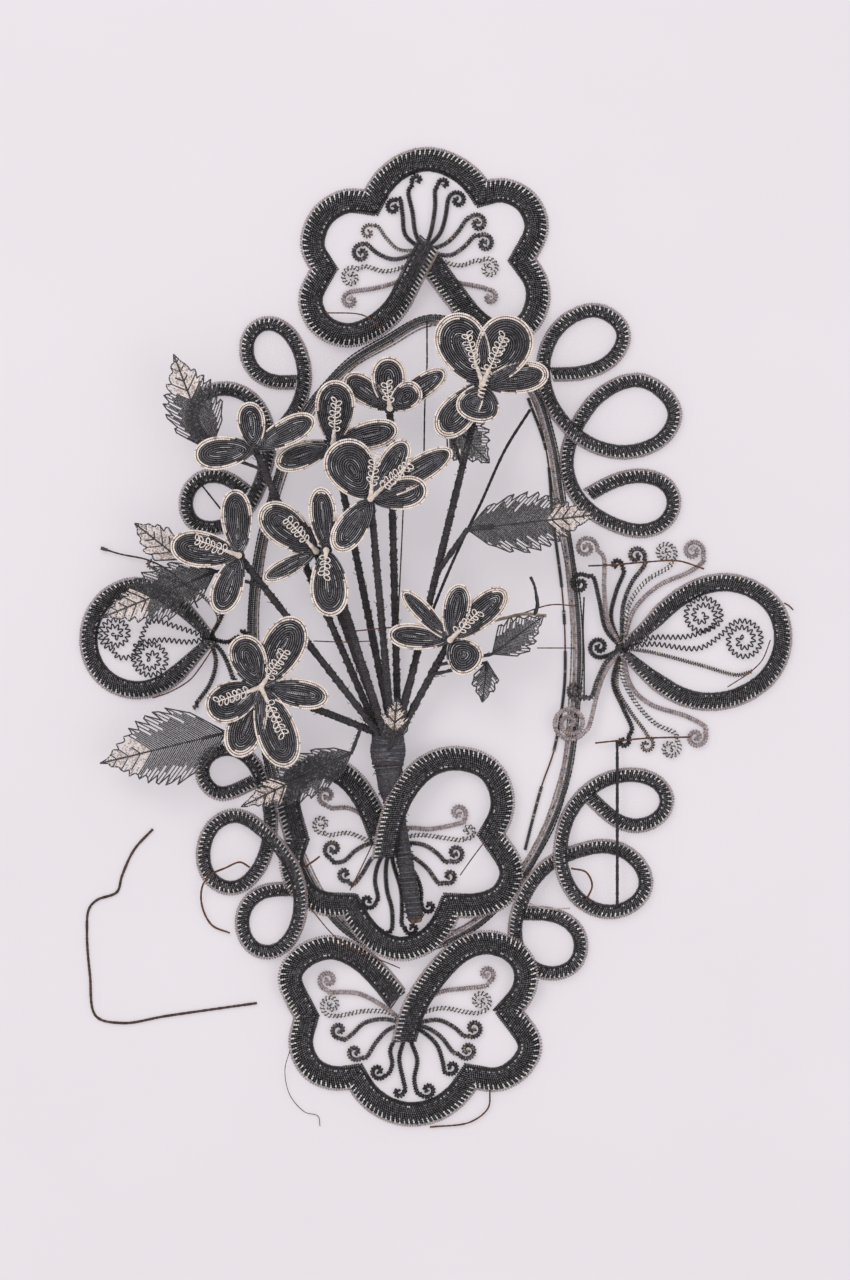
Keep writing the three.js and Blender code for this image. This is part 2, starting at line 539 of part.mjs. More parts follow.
// A ball squeezed to the half height given, with its poles up and down
function ballGeometry(centre, radius, halfHeight) {
  const ball = new THREE.SphereGeometry(radius, tieSides, tieRings);
  ball.rotateX(Math.PI / 2);
  ball.scale(1, 1, halfHeight / radius);
  ball.translate(centre.x, centre.y, centre.z);
  return ball;
}

// The points of a curled wire: from the tie along its arm, then inwards along a spiral.
// The spiral turns the way that the arm comes in.
function curlPoints(tie, { centre, radius, layer, arm }) {
  const height = curlLift + curlRadius + layer * layerHeight;
  const armPoints = arm.map((pixel) => spotAt(pixel, height));
  const middle = spotAt(centre, height);
  const reach = radius * millimetresPerPixel - curlRadius;
  const last = armPoints[armPoints.length - 1];
  const before = armPoints.length > 1 ? armPoints[armPoints.length - 2] : tie;
  const heading = new THREE.Vector3().subVectors(last, before);
  const inward = new THREE.Vector3().subVectors(middle, last);
  const turn = Math.sign(heading.x * inward.y - heading.y * inward.x);
  const startAngle = Math.atan2(last.y - middle.y, last.x - middle.x);
  const turns = radius > wideCurlRadius ? spiralTurns : curlTurns;
  const steps = Math.round(turns * curlTurnSteps);
  const spiral = Array.from({ length: steps }, (_, i) => {
    const angle = startAngle + (turn * (i + 1) * 2 * Math.PI) / curlTurnSteps;
    const tightened = ((i + 1) / steps) ** curlTighteningPower;
    const distance = reach * (1 - (1 - curlInnerShare) * tightened);
    const x = middle.x + distance * Math.cos(angle);
    const y = middle.y + distance * Math.sin(angle);
    return new THREE.Vector3(x, y, height);
  });
  const rise = armPoints.map((point, i) => point.setZ(tie.z + (height - tie.z) * Math.min((i + 1) / 2, 1)));
  return [tie, ...rise, ...spiral];
}

// Curled wires twisted together at one tie
function filigreeGeometry(tiePixel, curls) {
  const halfHeight = (bandRise - curlLift) / 2;
  const tie = spotAt(tiePixel, curlLift + halfHeight);
  const tubes = curls.map((curl) => evenTube(curlPoints(tie, curl), curlRadius, wireSides));
  return joined([ballGeometry(tie, tieRadius, halfHeight), ...tubes]);
}

// The oval lies on one of its flats
function ringGeometry() {
  const points = ovalRingPixels.map((pixel) => spot(pixel));
  const axisHeight = ringRadius * Math.cos(Math.PI / ringSides);
  const route = smoothPoints(points, ringStep, true).map((point) => point.setZ(axisHeight));
  return evenTube(route, ringRadius, ringSides, true);
}

function wireGeometry(routePixels, radius) {
  const points = routePixels.map((pixel) => spot(pixel).add(new THREE.Vector3(0, 0, radius)));
  return evenTube(smoothPoints(points, wireStep), radius, wireSides);
}

// Flower parts

// A cupped petal: an egg-shaped rim, dished between its rim and its middle
function petalGeometry(knot, [column, row, widthPixels, lift]) {
  const tip = spotAt([column, row], knot.z + lift);
  const along = new THREE.Vector3().subVectors(tip, knot);
  const across = new THREE.Vector3(along.y, -along.x, 0).normalize();
  const up = new THREE.Vector3().crossVectors(across, along).normalize();
  const halfWidth = (widthPixels * millimetresPerPixel) / 2;
  const cup = halfWidth * petalCupShare;
  const place = (share, side, height) => knot.clone()
    .addScaledVector(along, share)
    .addScaledVector(across, side * halfWidth)
    .addScaledVector(up, height);
  const rim = [];
  const topMid = [];
  const lowMid = [];
  for (let i = 0; i < petalRimPoints; i += 1) {
    const angle = (i / petalRimPoints) * 2 * Math.PI;
    const share = (1 - Math.cos(angle)) / 2;
    const side = Math.sin(angle) * Math.sqrt((share + petalMidShare) / (1 + petalMidShare));
    const midShare = petalMidShare + (share - petalMidShare) * petalMidShare;
    rim.push(place(share, side, 0));
    topMid.push(place(midShare, side * petalMidShare, petalThickness / 2 - cup * petalMidShare));
    lowMid.push(place(midShare, side * petalMidShare, -petalThickness / 2 - cup * petalMidShare));
  }
  const topMiddle = place(petalMidShare, 0, petalThickness / 2 - cup);
  const lowMiddle = place(petalMidShare, 0, -petalThickness / 2 - cup);
  const positions = [...rim, ...topMid, ...lowMid, topMiddle, lowMiddle];
  const n = petalRimPoints;
  const triangles = [];
  for (let i = 0; i < n; i += 1) {
    const j = (i + 1) % n;
    triangles.push(i, j, n + j, i, n + j, n + i, n + i, n + j, 3 * n);
    triangles.push(j, i, 2 * n + j, i, 2 * n + i, 2 * n + j, 2 * n + j, 2 * n + i, 3 * n + 1);
  }
  return geometryOf(positions, triangles);
}

function knotOf(flower) {
  return spotAt(flower.knot, flower.height);
}

function corollaGeometry(flower) {
  const knot = knotOf(flower);
  const petals = flower.petals.map((petal) => petalGeometry(knot, petal));
  return joined([ballGeometry(knot, knotRadius, knotRadius), ...petals]);
}

// Strings of bead rings that spring from just above the knot and rise over the petals
function stamensGeometry(flower) {
  const knot = knotOf(flower);
  const base = knot.clone().setZ(knot.z + knotRadius + clearance + stamenBaseRadius);
  const strings = flower.stamens.map((pixel) => {
    const tip = spotAt(pixel, base.z + stamenLift);
    const middle = base.clone().lerp(tip, stamenMidShare).setZ(tip.z);
    return tubeGeometry([base, middle, tip], [stamenRadius, stamenRadius, stamenTipRadius], stamenSides);
  });
  return joined([ballGeometry(base, stamenBaseRadius, stamenBaseRadius), ...strings]);
}

// Stems leave the bundle from places round the handle and rise to just under their flowers' knots
const stemSlotAngle = (2 * Math.PI) / stemCount;
const stemCircleRadius = (2 * stemRadius + 2 * clearance) / (2 * Math.sin(stemSlotAngle / 2));
const handleTopRadius = stemCircleRadius - stemRadius - clearance;
const bindingBoreRadius = (stemCircleRadius + stemRadius + clearance) / Math.cos(Math.PI / bindingSides);
const bundle = spotAt(bundlePixel, bundleHeight);

function stemPoints(flower) {
  const angle = Math.PI - flower.slot * stemSlotAngle;
  const x = bundle.x + stemCircleRadius * Math.cos(angle);
  const z = bundle.z + stemCircleRadius * Math.sin(angle);
  const start = new THREE.Vector3(x, bundle.y - bindingLength / 2, z);
  const leave = new THREE.Vector3(x, bundle.y + bindingLength / 2 + stemRadius, z);
  const knot = knotOf(flower);
  const end = knot.clone().setZ(knot.z - knotRadius - clearance);
  const tilt = Math.atan2((end.z - leave.z) * stemRisePower, Math.hypot(end.x - leave.x, end.y - leave.y));
  end.z -= stemTopShare * stemRadius * Math.cos(tilt);
  const route = [start, leave];
  for (let i = 1; i <= stemSteps; i += 1) {
    const share = i / stemSteps;
    const point = leave.clone().lerp(end, share);
    point.z = leave.z + (end.z - leave.z) * share ** stemRisePower;
    route.push(point);
  }
  return route;
}

const stemRoutes = new Map(flowersPixels.map((flower) => [flower.name, stemPoints(flower)]));

function stemGeometry(flower) {
  return evenTube(stemRoutes.get(flower.name), stemRadius, stemSides);
}

function handleGeometry() {
  const top = bundle.clone().setY(bundle.y + bindingLength / 2);
  const end = spotAt(handleEndPixel, handleEndHeight);
  const bottom = bundle.clone().setY(bundle.y - bindingLength / 2);
  const points = [top, bottom, end];
  return tubeGeometry(points, [handleTopRadius, handleTopRadius, handleEndRadius], handleSides);
}

// The sleeve of wound thread, turned about the handle's axis
function bindingGeometry() {
  const outer = bindingBoreRadius + bindingWall;
  const half = bindingLength / 2 - clearance;
  const profile = [
    new THREE.Vector2(bindingBoreRadius, -half),
    new THREE.Vector2(outer, -half + bindingWall),
    new THREE.Vector2(outer, half - bindingWall),
    new THREE.Vector2(bindingBoreRadius, half),
    new THREE.Vector2(bindingBoreRadius, -half),
  ];
  const sleeve = new THREE.LatheGeometry(profile, bindingSides);
  sleeve.translate(bundle.x, bundle.y, bundle.z);
  return joined([sleeve]);
}

// A stalk ends on top of its stem, or on top of the binding
function stalkSeat(leaf) {
  if (leaf.stem === 'binding') {
    return bundle.clone().setZ(bundle.z + bindingBoreRadius + bindingWall + clearance + stalkRadius);
  }
  const stem = new THREE.CurvePath();
  const route = stemRoutes.get(leaf.stem);
  route.slice(1).forEach((point, i) => stem.add(new THREE.LineCurve3(route[i], point)));
  const slant = stem.getTangent(leaf.stemShare);
  const seat = stem.getPoint(leaf.stemShare);
  seat.z += (stemTopShare * stemRadius + clearance + stalkRadius) / Math.hypot(slant.x, slant.y);
  return seat;
}

// A leaf: a toothed blade folded along its rib, with a stalk that lies on the stem it is tied to
function leafGeometry(leaf) {
  const base = spotAt(leaf.base, leaf.heights[0]);
  const tip = spotAt(leaf.tip, leaf.heights[1]);
  const length = base.distanceTo(tip);
  const halfWidth = (leaf.width * millimetresPerPixel) / 2;
  const shape = new THREE.Shape();
  const edge = [];
  for (let i = 1; i <= leafTeeth; i += 1) {
    const share = i / (leafTeeth + 1);
    const spread = Math.sin(Math.PI * share ** leafBellyPower);
    edge.push([share + leafToothShare, spread], [share + leafToothShare, spread * leafNotchShare]);
  }
  shape.moveTo(0, leafThickness);
  edge.forEach(([share, side]) => shape.lineTo(share * length, side * halfWidth + leafThickness));
  shape.lineTo(length, 0);
  edge.reverse();
  edge.forEach(([share, side]) => shape.lineTo(share * length, -side * halfWidth - leafThickness));
  shape.lineTo(0, -leafThickness);
  const blade = new THREE.ExtrudeGeometry(shape, { depth: leafThickness, bevelEnabled: false });
  const places = blade.attributes.position;
  for (let i = 0; i < places.count; i += 1) {
    const fold = Math.abs(places.getY(i)) * leafFoldShare;
    const arch = leafArchShare * length * Math.sin((Math.PI * places.getX(i)) / length);
    places.setZ(i, places.getZ(i) + fold + arch);
  }
  const along = new THREE.Vector3().subVectors(tip, base).normalize();
  const across = new THREE.Vector3(-along.y, along.x, 0).normalize();
  const up = new THREE.Vector3().crossVectors(along, across);
  blade.applyMatrix4(new THREE.Matrix4().makeBasis(along, across, up).setPosition(base));
  const seat = stalkSeat(leaf);
  const inBlade = base.clone().addScaledVector(along, length * stalkInBladeShare);
  inBlade.addScaledVector(up, leafThickness / 2 + leafArchShare * length * stalkInBladeShare);
  const bend = base.clone().setZ(base.z + leafThickness / 2);
  return joined([blade, evenTube([seat, bend, inBlade], stalkRadius, wireSides)]);
}

// The pieces
addPiece('oval_beaded_ring', ringGeometry(), greyBeads);
addPiece('oval_inner_wire', wireGeometry(innerWirePixels, innerWireRadius), rustyWire);
addPiece('scroll_band_top_right', scrollBand(topRightScrollPixels), greyBeads);
addPiece('scroll_band_top_left', scrollBand(topLeftScrollPixels), greyBeads);
addPiece('scroll_band_bottom_right', scrollBand(bottomRightScrollPixels), greyBeads);
addPiece('scroll_band_bottom_left', scrollBand(bottomLeftScrollPixels), greyBeads);
addPiece('pansy_band_top', pansyBand(topPansyRunsPixels), greyBeads);
addPiece('pansy_band_middle', pansyBand(middlePansyRunsPixels), greyBeads);
addPiece('pansy_band_bottom', pansyBand(bottomPansyRunsPixels), greyBeads);
addPiece('pansy_filigree_top', filigreeGeometry(topPansyTiePixel, topPansyCurlsPixels), blackBeads);
addPiece('pansy_filigree_middle', filigreeGeometry(middlePansyTiePixel, middlePansyCurlsPixels), blackBeads);
addPiece('pansy_filigree_bottom', filigreeGeometry(bottomPansyTiePixel, bottomPansyCurlsPixels), blackBeads);
addPiece('teardrop_band_right', teardropBand(rightTeardropPixels), greyBeads);
addPiece('teardrop_band_left', teardropBand(leftTeardropPixels), greyBeads);
addPiece('side_filigree_right', filigreeGeometry(rightTiePixel, rightCurlsPixels), blackBeads);
addPiece('side_filigree_left', filigreeGeometry(leftTiePixel, leftCurlsPixels), blackBeads);
addPiece('cross_wire_upper', wireGeometry(upperCrossWirePixels, braceWireRadius), rustyWire);
addPiece('cross_wire_lower', joined([
  wireGeometry(lowerCrossWirePixels, braceWireRadius), wireGeometry(uprightRodPixels, braceWireRadius),
]), rustyWire);
addPiece('bouquet_handle', handleGeometry(), blackThread);
addPiece('bouquet_binding', bindingGeometry(), blackThread);
flowersPixels.forEach((flower) => {
  addPiece(`flower_${flower.name}`, corollaGeometry(flower), greyBeads);
  addPiece(`stem_${flower.name}`, stemGeometry(flower), blackThread);
  if (flower.stamens.length > 0) {
    addPiece(`stamens_${flower.name}`, stamensGeometry(flower), paleBeads);
  }
});
leavesPixels.forEach((leaf) => addPiece(`leaf_${leaf.name}`, leafGeometry(leaf), greyBeads));
addPiece('loose_wire', wireGeometry(looseWirePixels, looseWireRadius), rustyWire);

// The origin is under the middle of the wreath, on the surface that it lies on
const bounds = new THREE.Box3().setFromObject(wreath);
const centre = bounds.getCenter(new THREE.Vector3());
wreath.position.set(-centre.x, -centre.y, -bounds.min.z);
wreath.updateMatrixWorld(true);

export default wreath;
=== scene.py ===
import math
from collections import namedtuple

import bpy
import numpy as np
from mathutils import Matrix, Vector


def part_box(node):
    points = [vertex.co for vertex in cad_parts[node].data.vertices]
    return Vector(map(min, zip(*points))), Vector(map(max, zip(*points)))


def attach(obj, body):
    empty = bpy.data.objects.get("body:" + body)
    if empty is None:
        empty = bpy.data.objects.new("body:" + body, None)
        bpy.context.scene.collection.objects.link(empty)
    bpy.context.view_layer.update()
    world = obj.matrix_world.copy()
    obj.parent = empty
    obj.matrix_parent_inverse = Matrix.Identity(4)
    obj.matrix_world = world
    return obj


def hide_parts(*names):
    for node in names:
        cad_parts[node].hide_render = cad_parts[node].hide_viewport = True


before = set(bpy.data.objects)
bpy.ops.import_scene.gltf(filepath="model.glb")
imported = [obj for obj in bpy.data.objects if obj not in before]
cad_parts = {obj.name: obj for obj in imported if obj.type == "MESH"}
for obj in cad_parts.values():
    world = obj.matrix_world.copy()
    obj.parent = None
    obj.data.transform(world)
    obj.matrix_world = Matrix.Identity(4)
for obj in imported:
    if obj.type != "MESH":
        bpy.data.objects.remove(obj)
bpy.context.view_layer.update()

# Sizes, in metres
MM = 0.001
WREATH_HEIGHT = 885 * MM
BEAD = 1.9 * MM
CLEARANCE = 0.35 * MM
BAND_RISE = 9 * MM
LAYER_HEIGHT = BAND_RISE + CLEARANCE
RING_RADIUS = 4 * MM
CURL_RADIUS = 2.1 * MM
CURL_LIFT = 0.6 * MM
TIE_RADIUS = 6.5 * MM
KNOT_RADIUS = 5 * MM
STAMEN_LIFT = 9 * MM
STAMEN_BASE_RADIUS = 2.6 * MM
LEAF_THICKNESS = 2 * MM
STALK_RADIUS = 1.4 * MM
STEM_RADIUS = 3.1 * MM
BINDING_LENGTH = 26 * MM
BINDING_WALL = 2.4 * MM
BUNDLE_HEIGHT = 18 * MM
HANDLE_END_RADIUS = 8 * MM
HANDLE_END_HEIGHT = 13.6 * MM

# The photograph's frame
IMAGE_WIDTH_PIXELS = 850
IMAGE_HEIGHT_PIXELS = 1280
TOP_ROW_PIXEL = 145
BOTTOM_ROW_PIXEL = 1128
MIDDLE_ROW_PIXEL = (TOP_ROW_PIXEL + BOTTOM_ROW_PIXEL) / 2
MIDDLE_COLUMN_PIXEL = 436
METRES_PER_PIXEL = WREATH_HEIGHT / (BOTTOM_ROW_PIXEL - TOP_ROW_PIXEL)
BUNDLE_PIXEL = [388, 750]
HANDLE_END_PIXEL = [415.5, 918.5]

# Band styles. The two shares say how far out across the band its outer rope and its pale dashes start.
BandStyle = namedtuple("BandStyle", "width beads_across rope_share dashes_share")
PANSY_STYLE = BandStyle(23 * MM, 16, 0.82, 0.36)
SCROLL_STYLE = BandStyle(14 * MM, 11, 0.72, 0.12)
TEARDROP_STYLE = BandStyle(17.4 * MM, 13, 0.8, 0.35)
PANSY_END_REACH = 9 * MM
SCROLL_END_REACH = 7 * MM
LONG_SCROLL_END_REACH = 15 * MM
TEARDROP_END_REACH = 6 * MM
TEARDROP_TAPER_SHARE = 0.5

# Tables of places. A point is [pixel column, pixel row], and a third number is the layer of bands it lies on.

# Bands: style, 1 where the outer edge is on the right of the route and -1 where it is on the left, how far
# the free ends go on, the share of the width that the free ends keep, and the runs from corner to corner
BANDS_PIXELS = {
    "pansy_band_top": (PANSY_STYLE, -1, 0, 1, [
        [[430, 243, 1.82], [411, 280, 1.5], [395, 309, 0.78], [373, 328, 0.78], [347, 336, 0.78],
         [321, 325, 0.4], [310, 299], [324, 269]],
        [[324, 269], [312, 246], [322, 216], [346, 201], [371, 203]],
        [[371, 203], [384, 181], [404, 165], [428, 159], [453, 166], [472, 180], [482, 194]],
        [[482, 194], [503, 190], [527, 202], [537, 228], [522, 260]],
        [[522, 260], [536, 281], [538, 301], [526, 326, 0.78], [500, 335, 0.78], [476, 322, 0.78],
         [456, 298, 0.78], [438, 274, 0.78], [425, 256, 0.78]],
    ]),
    "pansy_band_middle": (PANSY_STYLE, 1, 0, 1, [
        [[381, 836, 0.78], [374, 818, 0.78], [366, 800, 0.78], [349, 778, 0.78], [325, 766, 0.78],
         [299, 775, 0.78], [288, 798, 0.78], [297, 839, 0.78]],
        [[297, 839, 0.78], [291, 860, 0.78], [298, 884, 0.78], [319, 902, 0.78], [350, 905, 0.78]],
        [[350, 905, 0.78], [361, 924, 0.78], [379, 942, 0.78], [402, 949, 0.78], [425, 942, 0.78],
         [442, 925, 0.78], [451, 905, 0.78]],
        [[451, 905, 0.78], [478, 905, 0.78], [502, 895, 0.78], [512, 870, 0.78], [491, 834, 0.78]],
        [[491, 834, 0.78], [501, 815, 0.78], [502, 793, 0.78], [488, 768, 0.78], [458, 758, 0.78],
         [430, 764, 1.7], [407, 786, 2.66], [394, 812, 2.66], [388, 835, 2.6], [384, 858, 2.4]],
    ]),
    "pansy_band_bottom": (PANSY_STYLE, 1, PANSY_END_REACH, 1, [
        [[393.5, 993.5], [381.5, 978.5], [365.5, 962.5], [348.5, 951.5, 0.4], [328.5, 946.5, 1],
         [302.5, 956.5, 1], [289.5, 976.5, 1], [306.5, 1016.5]],
        [[306.5, 1016.5], [300.5, 1044.5], [311.5, 1068.5], [333.5, 1078.5], [355.5, 1076.5]],
        [[355.5, 1076.5], [366.5, 1093.5], [386.5, 1108.5], [411.5, 1114.5], [438.5, 1108.5],
         [457.5, 1094.5], [470.5, 1076.5]],
        [[470.5, 1076.5], [499.5, 1079.5], [521.5, 1065.5], [530.5, 1044.5], [508.5, 1010.5]],
        [[508.5, 1010.5], [521.5, 994.5, 0.6], [526.5, 978.5, 1.1], [523.5, 962.5, 1.1],
         [510.5, 948.5, 1.1], [485.5, 941.5, 1], [461.5, 949.5, 0.4], [442.5, 966.5, 0.4],
         [426.5, 986.5, 1], [413.5, 1008.5, 1], [405.5, 1034.5, 1]],
    ]),
    "scroll_band_top_right": (SCROLL_STYLE, 1, SCROLL_END_REACH, 1, [
        [[556.7, 374.5], [578.7, 374], [610.7, 362], [625.7, 332], [597.7, 309], [561.7, 323], [544.7, 352],
         [542.7, 378], [548.7, 400], [560.7, 420, 1], [578.7, 438, 1], [600.7, 449], [627.7, 453],
         [662.7, 440], [676.7, 411], [641.7, 379], [601.7, 393], [579.7, 420], [567.7, 448], [565.7, 468],
         [574.7, 494], [590.7, 512], [611.7, 524], [638.7, 532], [663.7, 525], [675.7, 503], [666.7, 483],
         [638.7, 475], [610.7, 482], [592.7, 492]],
    ]),
    "scroll_band_top_left": (SCROLL_STYLE, -1, SCROLL_END_REACH, 1, [
        [[291.4, 382.4], [271.4, 382.4], [251.4, 369.4], [245.4, 349.4], [251.4, 329.4], [270.4, 321.4],
         [288.4, 331.4], [300.4, 351.4], [305.4, 379.4], [299.4, 403.4], [285.4, 425.4, 1],
         [264.4, 442.4, 1], [241.4, 451.4], [213.4, 447.4], [194.4, 431.4], [191.4, 409.4], [206.4, 391.4],
         [233.4, 388.4], [257.4, 403.4], [268.4, 429.4], [269.4, 453.4], [264.4, 473.4], [257.4, 491.4],
         [249.4, 507.4], [234.4, 521.4], [212.4, 529.4], [191.4, 523.4], [184.4, 503.4], [191.4, 484.4],
         [208.4, 474.4], [229.4, 478.4], [243.4, 489.4]],
    ]),
    "scroll_band_bottom_right": (SCROLL_STYLE, -1, LONG_SCROLL_END_REACH, 1, [
        [[530.1, 913.1], [554.1, 914.1], [577.1, 928.1], [582.1, 947.1], [576.1, 965.1], [558.1, 974.1],
         [539.1, 972.1], [521.1, 958.1], [514.1, 934.1], [519.1, 906.1, 1], [533.1, 879.1, 1],
         [552.1, 861.1], [571.1, 853.1], [604.1, 845.1], [629.1, 853.1], [645.1, 872.1], [647.1, 888.1],
         [634.1, 905.1], [609.1, 913.1], [585.1, 905.1], [569.1, 888.1, 1], [560.1, 863.1, 1],
         [561.1, 837.1, 1], [569.1, 813.1], [584.1, 793.1], [605.1, 779.1], [634.1, 774.1], [659.1, 782.1],
         [669.1, 801.1], [660.1, 818.1], [637.1, 827.1], [616.1, 821.1], [598.1, 805.1]],
    ]),
    "scroll_band_bottom_left": (SCROLL_STYLE, 1, LONG_SCROLL_END_REACH, 1, [
        [[285.3, 889], [264.3, 890], [245.3, 905], [241.3, 928], [251.3, 948], [269.3, 954], [286.3, 945],
         [298.3, 923, 1], [301.3, 895, 2], [294.3, 868, 2], [281.3, 848, 2], [261.3, 828, 1.4],
         [237.3, 814, 0.3], [213.3, 824], [202.3, 852], [209.3, 879], [234.3, 890], [257.3, 872],
         [268.3, 845], [271.3, 815], [264.3, 786], [252.3, 760], [229.3, 747], [205.3, 757], [201.3, 778],
         [219.3, 796], [243.3, 787]],
    ]),
    "teardrop_band_right": (TEARDROP_STYLE, -1, TEARDROP_END_REACH, TEARDROP_TAPER_SHARE, [
        [[627.6, 642.4, 1], [646.6, 627.4, 0.7], [665.6, 608.4], [690.6, 590.4], [721.6, 581.4],
         [752.6, 588.4], [775.6, 607.4], [783.6, 633.4], [780.6, 656.4], [767.6, 678.4], [742.6, 695.4],
         [712.6, 702.4], [682.6, 697.4], [653.6, 679.4, 0.5], [627.6, 656.4, 1]],
    ]),
    "teardrop_band_left": (TEARDROP_STYLE, 1, TEARDROP_END_REACH, TEARDROP_TAPER_SHARE, [
        [[206.8, 632, 1], [188.8, 613, 0.6], [165.8, 594], [135.8, 585], [108.8, 595], [92.8, 616],
         [87.8, 640], [93.8, 665], [111.8, 684], [140.8, 691], [168.8, 681], [188.8, 662, 0.6],
         [206.8, 644, 1]],
    ]),
}
OVAL_RING_PIXELS = [
    [430, 320], [480, 336], [513, 364], [536, 397], [550, 440], [560, 500], [571, 570], [577, 640],
    [575, 700], [563, 785], [541, 842], [512, 888], [478, 922], [430, 945], [388, 947], [345, 927],
    [311, 880], [287, 820], [269, 760], [257, 690], [253, 620], [259, 560], [273, 500], [288.6, 450.6],
    [315.6, 400.6], [349, 365], [388, 341],
]
INNER_WIRE_PIXELS = [
    [528, 398], [546, 450], [553, 520], [562, 590], [565, 640], [564, 690], [554, 750], [542, 785],
    [532, 822], [525, 850],
]
UPPER_CROSS_WIRE_PIXELS = [
    [588, 566, 1.24], [612, 565, 1.22], [647, 562, 0.75], [678, 561, 0.75], [704, 569, 0.6],
]
LOWER_CROSS_WIRE_PIXELS = [
    [595, 743, 0.51], [614, 741, 0.51], [650, 738, 0.51], [690, 737, 0.51],
]
UPRIGHT_ROD_PIXELS = [
    [617, 741, 0.51], [617, 768, 0.99], [617, 800, 0.99], [617, 850, 0.99], [617, 905, 0.99],
]
LOOSE_WIRE_PIXELS = [
    [153, 829], [134, 850], [122, 876], [117, 892], [97, 900], [89, 909], [87, 934], [90, 975], [96, 1016],
    [123, 1023], [166, 1016], [257, 1003],
]

